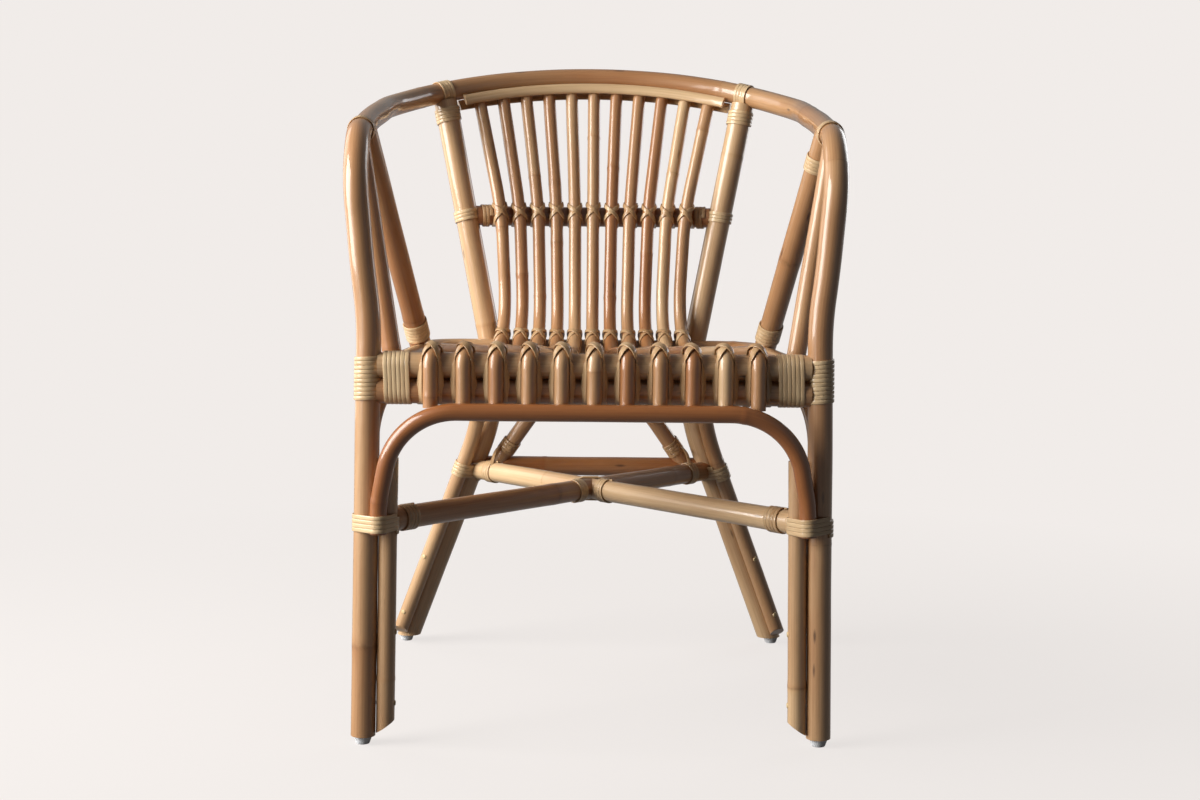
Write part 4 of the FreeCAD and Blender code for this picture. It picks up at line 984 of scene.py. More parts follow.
def span(g, value, low, high, to_low=0.0, to_high=1.0):
    """Value moved from one range into another."""
    return g.add("ShaderNodeMapRange", value, low, high, to_low, to_high)


def cane_finish():
    """Lacquered cane with blotches, streaks, fibres, scars at the rings and a few specks."""
    look = bpy.context.scene.chair_cane
    g, surface = shader("Lacquered cane")
    grain = attribute(g, "grain", 1)
    tone, ring = attribute(g, "tone"), attribute(g, "ring")
    blotch = stretched_noise(g, grain, 22, 5.5, 3.0)
    band = stretched_noise(g, grain, 3, 2.4, 1.0, 7.0)
    streak = stretched_noise(g, grain, 620, 9, 4.0)
    fibre = stretched_noise(g, grain, 1500, 24, 2.0)
    shade = varied(g, varied(g, tone, blotch, 0.55), band, 0.5)
    colour = ramp(g, shade, look.pale, look.honey, look.russet)
    colour = mixed(g, span(g, streak, 0.4, 0.75, 0.0, 0.5), colour, STREAK, "MULTIPLY")
    colour = mixed(g, span(g, fibre, 0.55, 0.8, 0.0, 0.3), colour, FIBRE, "MULTIPLY")
    broken = span(g, stretched_noise(g, grain, 180, 180, 2.0), 0.3, 0.65)
    scar = g.math("MULTIPLY", g.math("POWER", ring, 7.0), broken)
    colour = mixed(g, g.math("MULTIPLY", ring, 0.25), colour, RING, "MULTIPLY")
    colour = mixed(g, g.math("MULTIPLY", scar, 0.5), colour, SCAR)
    specks = g.tree.nodes.new("ShaderNodeTexVoronoi")
    dress(g, specks, {"Vector": g.vmath("MULTIPLY", grain, (75, 75, 17)), "Scale": 1.0})
    rare = g.math("GREATER_THAN", g.add("ShaderNodeSeparateColor", specks.outputs["Color"]), 0.86)
    dot = g.math("MULTIPLY", span(g, specks.outputs["Distance"], 0.16, 0.05), rare)
    colour = mixed(g, g.math("MULTIPLY", dot, 0.8), colour, SPECK)
    relief = g.math("SUBTRACT", g.math("MULTIPLY", streak, 0.6), g.math("MULTIPLY", scar, 0.8))
    dress(g, surface, {
        "Base Color": colour, "Roughness": span(g, blotch, 0.3, 0.7, 0.34, 0.5), "Specular IOR Level": 0.4,
        "Coat Weight": look.gloss, "Coat Roughness": 0.08, "Normal": raised(g, relief, 0.25, 0.0004)})


def peel_finish():
    """Lacquered peel with streaks, and painted shade that darkens each strip towards its edges."""
    look = bpy.context.scene.chair_peel
    g, surface = shader("Cane peel")
    grain = attribute(g, "grain", 1)
    patch = stretched_noise(g, grain, 60, 26, 2.0)
    streak = stretched_noise(g, grain, 1300, 30, 3.0)
    colour = ramp(g, varied(g, attribute(g, "tone"), patch, 0.7), look.straw, look.tan)
    colour = mixed(g, span(g, streak, 0.4, 0.75, 0.0, 0.6), colour, PEEL_STREAK, "MULTIPLY")
    # Painted shade: each strip darkens towards its edges, standing in for the shade where strips meet
    rim = span(g, attribute(g, "edge"), 0.75, 1.0, 0.0, 0.6)
    colour = mixed(g, rim, colour, PEEL_RIM_SHADE, "MULTIPLY")
    dress(g, surface, {
        "Base Color": colour, "Roughness": span(g, streak, 0.3, 0.7, 0.3, 0.44), "Specular IOR Level": 0.2,
        "Coat Weight": 0.7, "Coat Roughness": 0.1, "Normal": raised(g, streak, 0.3, 0.0003)})


def glide_finish():
    """Pale plastic with faint mist and scuffs."""
    g, surface = shader("Glide plastic")
    mist = g.add("ShaderNodeTexNoise", object_place(g), 240.0, 4.0)
    scuff = g.add("ShaderNodeTexNoise", object_place(g), 900.0, 2.0)
    colour = mixed(g, span(g, mist, 0.35, 0.7), GLIDE, GLIDE_MIST)
    colour = mixed(g, span(g, scuff, 0.6, 0.75, 0.0, 0.2), colour, GLIDE_SCUFF)
    dress(g, surface, {"Base Color": colour, "Roughness": span(g, scuff, 0.3, 0.7, 0.5, 0.65),
                       "Normal": raised(g, scuff, 0.05, 0.0002)})


def plug_finish():
    """Pale wood with a fine grain."""
    g, surface = shader("Plug wood")
    grain = g.vmath("MULTIPLY", object_place(g), (900, 900, 140))
    line = g.add("ShaderNodeTexNoise", grain, 1.0, 3.0)
    colour = mixed(g, span(g, line, 0.35, 0.65), PLUG, PLUG_GRAIN)
    dress(g, surface, {"Base Color": colour, "Roughness": span(g, line, 0.3, 0.7, 0.4, 0.55),
                       "Coat Weight": 0.3})


def screw_finish():
    """Worn zinc."""
    g, surface = shader("Zinc screw")
    wear = g.add("ShaderNodeTexNoise", object_place(g), 700.0, 3.0)
    dress(g, surface, {"Base Color": mixed(g, wear, ZINC, ZINC_WEAR),
                       "Roughness": span(g, wear, 0.3, 0.7, 0.25, 0.45), "Metallic": 1.0})


class CHAIR_OT_finishes(bpy.types.Operator):
    """Makes the node trees and the finishes"""
    bl_idname = "chair.finishes"
    bl_label = "Finishes and node trees"

    def execute(self, context):
        cane_tree()
        peel_tree()
        dowel_tree()
        for make in (cane_finish, peel_finish, glide_finish, plug_finish, screw_finish):
            make()
        return {"FINISHED"}


class CHAIR_OT_hoop(bpy.types.Operator):
    """Builds the hoop that makes the front legs, the arms and the back"""
    bl_idname = "chair.hoop"
    bl_label = "Hoop"

    def execute(self, context):
        cane("hoop_rail", HOOP, R["hoop"])
        return {"FINISHED"}


class CHAIR_OT_legs(bpy.types.Operator):
    """Builds the back posts, the side arches and the front leg doublers"""
    bl_idname = "chair.legs"
    bl_label = "Legs"

    def execute(self, context):
        for label, side in SIDES:
            self.back_post(label, side)
            self.side_arch(label, side)
            self.doubler(label, side)
        return {"FINISHED"}

    def back_post(self, label, side):
        """Back post, cut level over its glide."""
        top = post_top(side) - post_axis(side) * (R["hoop"] - TUCK)
        path = bent_path([rear_leg_point(side, -GLIDE_HEIGHT), post_waist(side), top], [WAIST_BEND])
        cane("back_post_" + label, path, R["back_post"], cuts=[(spot(0, 0, GLIDE_HEIGHT), -UP)])

    def side_arch(self, label, side):
        """Side arch, with a rear bend that ends above the leg's band."""
        beside, behind = beside_rear_leg(side), beside_leg(side)[2]
        under_bow = BOW_Z - R["seat_bow"] - R["side_arch"] - GAP
        foot = rear_leg_point(side, DOUBLER_FOOT) + beside
        corners = [leg_point(side, BAND_Z - 2 * PITCH) + behind, leg_point(side, under_bow) + behind,
                   on_line(post_foot(side) + beside, post_waist(side) + beside, under_bow), foot]
        band_top = rear_leg_point(side, STRETCHER_Z + 4 * PITCH) + beside
        turn = (corners[2] - corners[1]).angle(corners[3] - corners[2])
        rear_bend = min(SIDE_REAR_BEND, (corners[2] - band_top).length / math.tan(turn / 2))
        bevel = unit(unit(beside) * math.sin(BEVEL) - UP * math.cos(BEVEL))
        cane("side_arch_" + label, bent_path(corners, [SIDE_FRONT_BEND, rear_bend]), R["side_arch"],
             [(foot - unit(beside) * R["side_arch"], bevel)], THIN_SIDES)

    def doubler(self, label, side):
        """Doubler beside a front leg, bevelled at its foot."""
        step = beside_leg(side)[0]
        foot, top = leg_point(side, DOUBLER_FOOT) + step, leg_point(side, DOUBLER_TOP) + step
        bevel = Vector((-side * math.sin(BEVEL), 0, -math.cos(BEVEL)))
        cane("front_leg_doubler_" + label, straight(foot, top), R["doubler"],
             [(foot - unit(step) * R["doubler"], bevel)], THIN_SIDES)


class CHAIR_OT_seat_frame(bpy.types.Operator):
    """Builds the front rails, the seat bow and the front arch"""
    bl_idname = "chair.seat_frame"
    bl_label = "Seat frame"

    def execute(self, context):
        inset = R["hoop"] - DEEP_TUCK
        for place, radius, z in (("upper", R["front_rail"], RAIL_Z), ("lower", R["low_rail"], LOW_Z)):
            ends = [leg_point(side, z) for label, side in SIDES]
            cane("seat_front_rail_" + place, straight(*ends, inset, inset), radius + RAIL_SWELL)
        corners = both_sides([bow_side(1, R["front_rail"] - TUCK), bow_side(1, BOW_DEPTH)])
        cane("seat_bow", bent_path(corners, [BOW_BEND] * 2), R["seat_bow"])
        top_depth = -(R["front_rail"] + DIA["slat"] - SLAT_SADDLE + 2 * GAP + R["front_arch"])
        step = beside_leg(1)[1]
        corners = both_sides([leg_point(1, BAND_Z - 2 * PITCH) + step, leg_point(1, ARCH_LEAN_Z) + step,
                              spot(ARCH_X, top_depth, ARCH_Z)])
        path = bent_path(corners, [ARCH_LEAN_BEND, ARCH_BEND, ARCH_BEND, ARCH_LEAN_BEND])
        cane("front_arch", path, R["front_arch"], sides=THIN_SIDES)
        return {"FINISHED"}


class CHAIR_OT_struts(bpy.types.Operator):
    """Builds the struts under the arms"""
    bl_idname = "chair.struts"
    bl_label = "Arm struts"

    def execute(self, context):
        for label, side in SIDES:
            for place in STRUTS:
                node = "arm_strut_%s_%s" % (place, label)
                cane(node, straight(*strut_line(side, place)), R[place + "_strut"], sides=THIN_SIDES)
        return {"FINISHED"}


class CHAIR_OT_back_rail(bpy.types.Operator):
    """Builds the bowed mid rail and the battens at the slat tops"""
    bl_idname = "chair.back_rail"
    bl_label = "Back rail and battens"

    def execute(self, context):
        reach = MID_HALF - R["back_post"] + DEEP_TUCK
        path = [mid_point(-reach + 2 * reach * k / MID_STEPS) for k in range(MID_STEPS + 1)]
        cane("back_mid_rail", path, R["mid_rail"])
        for node, face in (("top_batten_front", 1), ("top_batten_rear", -1)):
            points, outs = [], []
            for k in range(BATTEN_STEPS + 1):
                x = -BATTEN_END + 2 * BATTEN_END * k / BATTEN_STEPS
                way = slat_corners(max(-HALF, min(HALF, x / SLAT_STEP["top"])))[1]
                at, along = hoop_arc(x)
                front = unit(way.cross(along))
                front = front * (face if front.y < 0 else -face)
                points.append(at - way * BATTEN_DROP + front * (R["slat"] + BATTEN_THICK / 2))
                outs.append(front)
            batten(node, points, outs)
        return {"FINISHED"}


class CHAIR_OT_slats(bpy.types.Operator):
    """Builds the slats of the back and the seat"""
    bl_idname = "chair.slats"
    bl_label = "Slats"

    def execute(self, context):
        for i in range(-HALF, HALF + 1):
            cane("slat_%02d" % (i + HALF + 1), slat_path(i), R["slat"], sides=SLAT_SIDES)
        return {"FINISHED"}


class CHAIR_OT_stretchers(bpy.types.Operator):
    """Builds the crossed stretchers, the rear stretcher and the rear braces"""
    bl_idname = "chair.stretchers"
    bl_label = "Stretchers and braces"

    def execute(self, context):
        at_post = R["back_post"] - TUCK
        for letter, side in (("a", -1), ("b", 1)):
            path = straight(*cross_line(side), R["doubler"] + DOUBLER_ROOM, at_post)
            cane("cross_stretcher_" + letter, path, R["stretcher"])
        end = rear_bar_end()
        cane("rear_stretcher", straight(flip(end), end, at_post, at_post), R["rear_stretcher"])
        for label, side in SIDES:
            path = straight(*brace_line(side), R["rear_stretcher"] - DEEP_TUCK, R["seat_bow"] - DEEP_TUCK)
            cane("rear_brace_" + label, path, R["brace"], sides=THIN_SIDES)
        return {"FINISHED"}


# Gap under a wound strip, and the height of a loose one above its cane in strip thicknesses
STRIP_GAP, LOOSE_LIFT = 0.15, 1.1


def strip_lift():
    """Distance from a cane to the middle of a strip that is wound round it."""
    return bpy.context.scene.chair_peel.thickness / MM / 2 + STRIP_GAP


def bound(circles, at, axis, across, turns):
    """Strip wound round straight canes about a point of their axis."""
    axis = unit(axis)
    return winding(circles, lambda rise: (at + axis * rise, axis), across, turns, strip_lift())


def leg_bundle(side):
    """Circles of the canes that a front leg's band holds, with its point, axis and side."""
    to_doubler, to_arch, to_side = beside_leg(side)
    at = leg_point(side, BAND_Z)
    places = [(at, R["hoop"]), (at + to_doubler, R["doubler"]), (at + to_arch, R["front_arch"]),
              (at + to_side, R["side_arch"])]
    return in_plane(at, leg_axis(side), X, places), at, leg_axis(side), X


def rear_bundle(side):
    """Circles of the canes that a rear leg's band holds, with its point, axis and side."""
    at = rear_leg_point(side, STRETCHER_Z)
    places = [(at, R["back_post"]), (at + beside_rear_leg(side), R["side_arch"])]
    return in_plane(at, rear_leg_axis(side), X, places), at, rear_leg_axis(side), X


def hoop_binding(side, turns):
    """Strip round the hoop over the top of a back post, following the hoop's bend."""
    runs, run = [], 0.0
    for p, q in zip(HOOP, HOOP[1:]):
        runs.append(run)
        run += (q - p).length
    joint = min(range(len(runs)), key=lambda i: (HOOP[i] - post_top(side)).length)

    def route(rise):
        """Point and direction of the hoop at a distance from the post's top."""
        goal = runs[joint] + rise
        i = max(k for k in range(len(runs)) if runs[k] <= goal)
        way = unit(HOOP[min(i + 4, len(HOOP) - 1)] - HOOP[max(i - 3, 0)])
        return HOOP[i] + unit(HOOP[i + 1] - HOOP[i]) * (goal - runs[i]), way
    return winding([(0, 0, R["hoop"])], route, Y, turns, strip_lift())


def rear_binding_at(side):
    """Middle of the binding near the rear end of a crossed stretcher."""
    start, end = cross_line(side)
    way = unit(end - start)
    return end - way * ((R["rear_stretcher"] + R["stretcher"] + SKIN) / way.y + 2 * PITCH)


def brace_binding_at(side):
    """Middle of the binding at the foot of a rear brace, and the brace's direction."""
    low, high = brace_line(side)
    way = unit(high - low)
    return low + way * (R["rear_stretcher"] + R["brace"] + 2.5 * PITCH), way


def tail(side):
    """Strip that leads from a stretcher's rear binding up round the brace beside it."""
    lift = bpy.context.scene.chair_peel.thickness / MM * LOOSE_LIFT
    at, (brace_at, way) = rear_binding_at(side), brace_binding_at(-side)
    # Each knot lies towards one side of its cane and at a distance along it
    knots = []
    for toward, rise in (((side * -0.2, -1, 0.1), -4), ((0, -0.5, 1), 3)):
        out = unit(toward)
        knots.append((at + out * (R["stretcher"] + lift) + X * (side * -rise * 0.5), out))
    for toward, rise in (((-side, -0.55, 0), -5), ((side * 0.4, -1, 0), 1), ((side, 0.3, 0), 5)):
        out = square_to(Vector(toward), way)
        knots.append((brace_at + way * rise + out * (R["brace"] + lift), out))
    ends = [knots[0]] + knots + [knots[-1]]
    return eased([(p, ends[i + 2][0] - ends[i][0], out) for i, (p, out) in enumerate(knots)])


class CHAIR_OT_bindings(bpy.types.Operator):
    """Winds the peel bindings round the joints"""
    bl_idname = "chair.bindings"
    bl_label = "Bindings"

    def execute(self, context):
        strips = {}
        for label, side in SIDES:
            self.hoop_and_back(strips, side)
            self.seat_and_legs(strips, side)
            self.stretchers(strips, side)
            self.struts(strips, side)
            self.cross(strips, side)
        at, way = crossing(1)
        spread = R["stretcher"] * (1 / way.y - 1) + PITCH * abs(way.x / way.y)
        pair = [(-spread, 0, R["stretcher"]), (spread, 0, R["stretcher"])]
        self.add(strips, "cross_bindings", bound(pair, at, Y, X, CROSS_TURNS))
        for node, runs in strips.items():
            peel_piece(node, runs, context.scene.chair_peel.width)
        return {"FINISHED"}

    def add(self, strips, node, strip):
        """Adds a strip to a piece."""
        strips.setdefault(node, []).append(strip)

    def bind(self, strips, node, cane_name, at, way, across):
        """Adds a strip round one cane."""
        self.add(strips, node, bound([(0, 0, R[cane_name])], at, way, across, TURNS[node]))

    def hoop_and_back(self, strips, side):
        """Bindings of the arm, the back post and the mid rail."""
        axis = post_axis(side)
        arm_depth = (STRUTS["front"][1] + R["front_strut"] + STRUTS["rear"][1] - R["rear_strut"]) / 2
        self.bind(strips, "arm_bindings", "hoop", *hoop_at_depth(side, arm_depth), X)
        node = "post_top_hoop_bindings"
        self.add(strips, node, hoop_binding(side, TURNS[node]))
        low = post_top(side) - axis * (R["hoop"] + SKIN + 3 * PITCH)
        self.bind(strips, "post_top_bindings", "back_post", low, axis, Y)
        at = post_point(side, MID_Z)
        self.bind(strips, "mid_rail_post_bindings", "back_post", at, axis, Y)
        x = side * (abs(at.x) - R["back_post"] - SKIN - 1.5 * PITCH)
        way = mid_point(x + 1) - mid_point(x)
        self.bind(strips, "mid_rail_end_bindings", "mid_rail", mid_point(x), way, Y)

    def seat_and_legs(self, strips, side):
        """Bindings of a seat corner and bands of the legs."""
        height = (RAIL_Z + LOW_Z) / 2
        self.bind(strips, "seat_corner_post_bindings", "hoop", leg_point(side, height), leg_axis(side), Y)
        x = leg_point(1, height).x - R["hoop"] - SKIN - 3.3 * PITCH
        at = spot(side * x, 0, RAIL_Z)
        rails = in_plane(at, X, UP, [(at, R["front_rail"]), (spot(side * x, 0, LOW_Z), R["low_rail"])])
        for node, bundle in (("seat_corner_rail_bindings", (rails, at, X, UP)),
                             ("leg_bands", leg_bundle(side)), ("rear_leg_bands", rear_bundle(side))):
            self.add(strips, node, bound(*bundle, TURNS[node]))

    def stretchers(self, strips, side):
        """Bindings of a crossed stretcher and of a rear brace."""
        start, end = cross_line(side)
        way = unit(end - start)
        room = R["doubler"] + SKIN + R["stretcher"] + 2 * PITCH
        self.bind(strips, "stretcher_front_bindings", "stretcher", start + way * room, way, UP)
        self.bind(strips, "stretcher_rear_bindings", "stretcher", rear_binding_at(side), way, UP)
        self.bind(strips, "rear_brace_bindings", "brace", *brace_binding_at(side), Y)
        self.add(strips, "rear_brace_bindings", tail(side))

    def struts(self, strips, side):
        """Binding at the foot of a rear strut, and on the right side one at its top."""
        foot, top = strut_line(side, "rear")
        way = unit(top - foot)
        rise = R["seat_bow"] + R["rear_strut"] + 2.5 * PITCH
        self.bind(strips, "strut_foot_bindings", "rear_strut", foot + way * rise, way, Y)
        if side > 0:
            drop = R["hoop"] + R["rear_strut"] + 3 * PITCH
            self.bind(strips, "strut_top_binding", "rear_strut", top - way * drop, way, Y)

    def cross(self, strips, side):
        """Binding of a stretcher beside the crossing."""
        at, way = crossing(side)
        room = (R["stretcher"] + SKIN) * abs(way.y / way.x) + 2 * PITCH
        self.bind(strips, "cross_bindings", "stretcher", at - way * room, way, UP)


# Lashings: gap under a strip, and the rise of its upper pass over its lower one in strip thicknesses
LASH_GAP, LASH_OVER = 0.1, 0.95
# How far the passes close in on the rail, rise beside the slat, slant, and lie apart behind the rail
LASH_CLOSE, LASH_RISE, LASH_SLANT, LASH_APART = 3.2, 1.2, 1.12, 5.2
# Front lashings: degrees round the slat's bend where a pass starts and ends, its knots, and its turn
# behind the rail
HOOD_START, HOOD_END, HOOD_KNOTS, HOOD_BEHIND, HOOD_UNDER = 28, 105, 6, 3.3, 2.6
# How far their legs stand off the slat, splay out below, and turn their faces to the side
HOOD_OUT, HOOD_SPLAY, HOOD_TURN, HOOD_LOW_TURN = 1.5, 0.6, 1.3, 0.6
# Height above the seat bow where the back lashings are sought, and steps along the mid rail for it
BACK_ONLY, RAIL_TRY, RAIL_TRIES = 60, 0.25, 40


def crossed(at, on_rail, up, rail_way, rail_r, thick):
    """Strip that crosses twice over a slat and passes twice round the rail behind it."""
    front = unit(at - on_rail)
    along = unit(up.cross(front))
    up = front.cross(along)
    rail_up = unit(front.cross(rail_way))
    rail_along = rail_up.cross(front)
    side = R["slat"] + thick / 2 + LASH_GAP
    rail = -(at - on_rail).length
    ring = rail_r + thick / 2 + LASH_GAP
    rear, crest = rail - ring, side + thick * LASH_OVER
    close, rise = side - LASH_CLOSE, side + LASH_RISE
    turn = math.hypot(math.pi / 2, LASH_SLANT)
    c, s = math.pi / 2 / turn, LASH_SLANT / turn
    behind = ((0, -1, 0), (0, 0, -1))
    # Each step has a place, a direction and an outward, all along the rail, up the slat and to the front
    steps = [((0, 0, rear), *behind), ((-close, -ring, rail), (0, 0, 1), (0, -1, 0)),
             ((-side, -rise, 0), (0, s, c), (-1, -0.2, 0)), ((0, 0, side), (c, s, 0), (0, 0, 1)),
             ((side, rise, 0), (0, s, -c), (1, 0.2, 0)), ((close, ring, rail), (0, 0, -1), (0, 1, 0)),
             ((LASH_APART, 0, rear), *behind), ((close, -ring, rail), (0, 0, 1), (0, -1, 0)),
             ((side, -rise, 0), (0, s, c), (1, -0.2, 0)), ((0, 0, crest), (-c, s, 0), (0, 0, 1)),
             ((-side, rise, 0), (0, s, -c), (-1, 0.2, 0)), ((-close, ring, rail), (0, 0, -1), (0, 1, 0)),
             ((-LASH_APART, 0, rear), *behind)]
    knots = []
    for (u, w, n), t, o in steps:
        e, f = (rail_along, rail_up) if n <= rail else (along, up)
        knots.append((at + e * u + f * w + front * n, e * t[0] + f * t[1] + front * t[2],
                      e * o[0] + f * o[1] + front * o[2]))
    return eased(knots)


def hood(front, rear, thick):
    """Strip that crosses over a slat's front bend and goes down round the lower rail on both sides."""
    side = R["slat"] + thick / 2 + LASH_GAP
    up_r, low_r = R["front_rail"] + thick / 2 + LASH_GAP, R["low_rail"] + thick / 2 + LASH_GAP
    ahead = unit(Vector((rear.x - front.x, rear.y - front.y, 0)))
    across = ahead.cross(UP)
    drop = Vector((front.x, front.y, RAIL_Z))
    low = LOW_Z - RAIL_Z

    def over(turn, lap, lift):
        """Point over the slat's bend, and the direction that it faces."""
        a, b = math.radians(turn), math.radians(lap)
        reach = side + lift * math.cos(a) ** 2
        out = FRONT_BEND + reach * math.cos(a)
        radial = ahead * -math.cos(b) + UP * math.sin(b)
        return (drop + across * (reach * math.sin(a)) + ahead * FRONT_BEND + radial * out,
                across * math.sin(a) + radial * math.cos(a))

    def pass_over(first, last, lift):
        """Knots from one side of the slat over to the other."""
        knots, step = [], 180 / HOOD_KNOTS
        for k in range(HOOD_KNOTS + 1):
            spots = [over(-90 + step * k + e, first + (last - first) * (k + e / step) / HOOD_KNOTS, lift)
                     for e in (-1, 0, 1)]
            knots.append((spots[1][0], spots[2][0] - spots[0][0], spots[1][1]))
        for k, lap in ((0, first), (HOOD_KNOTS, last)):
            b = math.radians(lap)
            way = (ahead * math.sin(b) + UP * math.cos(b)) * math.copysign(1, last - first)
            knots[k] = (knots[k][0], way, knots[k][2])
        return knots

    def beside(u, depth, z):
        """Point beside the slat, from the upper rail's axis."""
        return Vector((front.x + u, depth - ORIGIN_DEPTH, RAIL_Z + z))

    def leg(u, sign):
        """Knots of a leg, upwards from behind the lower rail or downwards to there."""
        edge = Vector((HOOD_TURN * math.copysign(1, u), 0, 0))
        wide = u + math.copysign(HOOD_SPLAY, u)
        knots = [(beside(wide, low_r, low), UP * -sign, Y), (beside(wide, 0, low - low_r), Y * -sign, -UP),
                 (beside(wide, -low_r, low), UP * sign, -Y + edge * HOOD_LOW_TURN),
                 (beside(u, -up_r, 0), UP * sign, -Y + edge)]
        return knots if sign > 0 else knots[::-1]
    behind = drop + ahead * (FRONT_BEND + up_r + HOOD_BEHIND) + UP * (FRONT_BEND - side - HOOD_UNDER)
    knots = leg(-side - HOOD_OUT, 1) + pass_over(HOOD_START, HOOD_END, 0) + [(behind, across * -1, -UP)]
    knots += pass_over(HOOD_END, HOOD_START, thick * LASH_OVER) + leg(side + HOOD_OUT, -1)
    return eased(knots, HOOD_STEPS)


def nearest(path, goal):
    """Place in a path, and the direction there, where a measure is least."""
    k = min(range(1, len(path) - 1), key=lambda i: goal(path[i]))
    return path[k], way_at(path, k)


class CHAIR_OT_lashings(bpy.types.Operator):
    """Lashes the slats to the mid rail, the seat bow and the front rails"""
    bl_idname = "chair.lashings"
    bl_label = "Slat lashings"

    def execute(self, context):
        look = context.scene.chair_peel
        thick = look.thickness / MM
        back, seat, fronts = [], [], []
        for i in range(-HALF, HALF + 1):
            path = slat_path(i)
            at, up = nearest(path, lambda p: (p - mid_point(p.x)).length if p.z > BOW_Z + BACK_ONLY else 1e9)
            tries = [mid_point(at.x + RAIL_TRY * d) for d in range(-RAIL_TRIES, RAIL_TRIES + 1)]
            rail_at = min(tries, key=lambda q: (q - at).length)
            rail_way = unit(mid_point(rail_at.x + 1) - mid_point(rail_at.x - 1))
            back.append(crossed(at, rail_at, up, rail_way, R["mid_rail"], thick))
            at, up = nearest(path, lambda p: math.hypot(p.y + ORIGIN_DEPTH - BOW_DEPTH, p.z - BOW_Z))
            seat.append(crossed(at, spot(at.x, BOW_DEPTH, BOW_Z), up, X, R["seat_bow"], thick))
            front, rear = slat_corners(i)[0][1:3]
            fronts.append(hood(front, rear, thick))
        peel_piece("slat_lashings_back", back, look.lash_width)
        peel_piece("slat_lashings_seat", seat, look.lash_width)
        peel_piece("slat_lashings_front", fronts, look.hood_width)
        return {"FINISHED"}


class CHAIR_OT_fittings(bpy.types.Operator):
    """Makes the glides under the legs, the plugs and the screws"""
    bl_idname = "chair.fittings"
    bl_label = "Glides, plugs and screws"

    def execute(self, context):
        for place, at in (("front", leg_point), ("rear", rear_leg_point)):
            for label, side in SIDES:
                self.glide("glide_%s_%s" % (place, label), at(side, 0))
        self.plugs()
        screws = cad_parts["leg_screws"]
        screws.data.materials.clear()
        screws.data.materials.append(bpy.data.materials["Zinc screw"])
        return {"FINISHED"}

    def glide(self, node, at):
        """Tapered foot with a stem."""
        mesh = turned_mesh(node, GLIDE_OUTLINE, GLIDE_SIDES)
        mesh.transform(Matrix.Translation(at * MM))
        mesh.materials.append(bpy.data.materials["Glide plastic"])
        ready(show(node + "_foot", mesh), node)

    def plugs(self):
        """Plugs over the screws of all legs."""
        spots, ways = [], []
        for label, side in SIDES:
            for z in (SCREW_LOW, SCREW_LOW + SCREW_STEP):
                for at, step, radius in ((leg_point(side, z), beside_leg(side)[0], R["doubler"]),
                                         (rear_leg_point(side, z), beside_rear_leg(side), R["side_arch"])):
                    spots.append(at + step + unit(step) * radius)
                    ways.append(unit(step))
        plug = show("plug_shape", turned_mesh("plug_shape", PLUG_OUTLINE, PLUG_SIDES))
        mesh = grown("leg_plugs", line_mesh("leg_plugs_line", spots, ways), "Dowel plugs",
                     {"Plug": plug, "Material": bpy.data.materials["Plug wood"]})
        bpy.data.objects.remove(plug)
        ready(show("leg_plugs_dowels", mesh), "leg_plugs")


# Lamps: name, setting of its power and share of it, width and height, place and colour
LAMPS = (
    ("Key light", "key", 1.0, (1.6, 2.0), (-2.2, -0.7, 1.3), (1.0, 0.98, 0.95)),
    ("Side light", "key", 0.1, (1.2, 2.0), (-1.8, 1.2, 1.1), (1.0, 0.99, 0.97)),
    ("Front light", "key", 0.05, (0.3, 1.7), (-1.7, -1.6, 1.0), (1.0, 0.98, 0.95)),
    ("Rear light", "key", 0.16, (1.4, 1.6), (1.9, 2.0, 1.3), (0.98, 0.99, 1.0)),
    ("Fill light", "fill", 1.0, (1.6, 2.2), (2.1, -1.5, 0.9), (0.97, 0.98, 1.0)),
)
LAMP_GOAL = Vector((0.0, 0.0, 0.5))
# Light of the backdrop on the object, its share in reflections, and the floor's share in bounced light
WORLD_LIGHT, GLOSSY_SHARE, FLOOR_SHARE = 0.012, 0.3, 0.05
# Half size of the floor, and where its own shade fades into the backdrop
FLOOR_HALF, SHADE_NEAR, SHADE_FAR, SHADE_GLOW = 14, 0.45, 1.6, 0.86
# Camera: place as side distance, depth and height, its turns, and its sensor
CAMERA_AT, SENSOR = (-15.6, -1765.6, 528.7), 36
CAMERA_PITCH, CAMERA_YAW, CAMERA_ROLL = (math.radians(turn) for turn in (4.993, 0.7, 0.58))


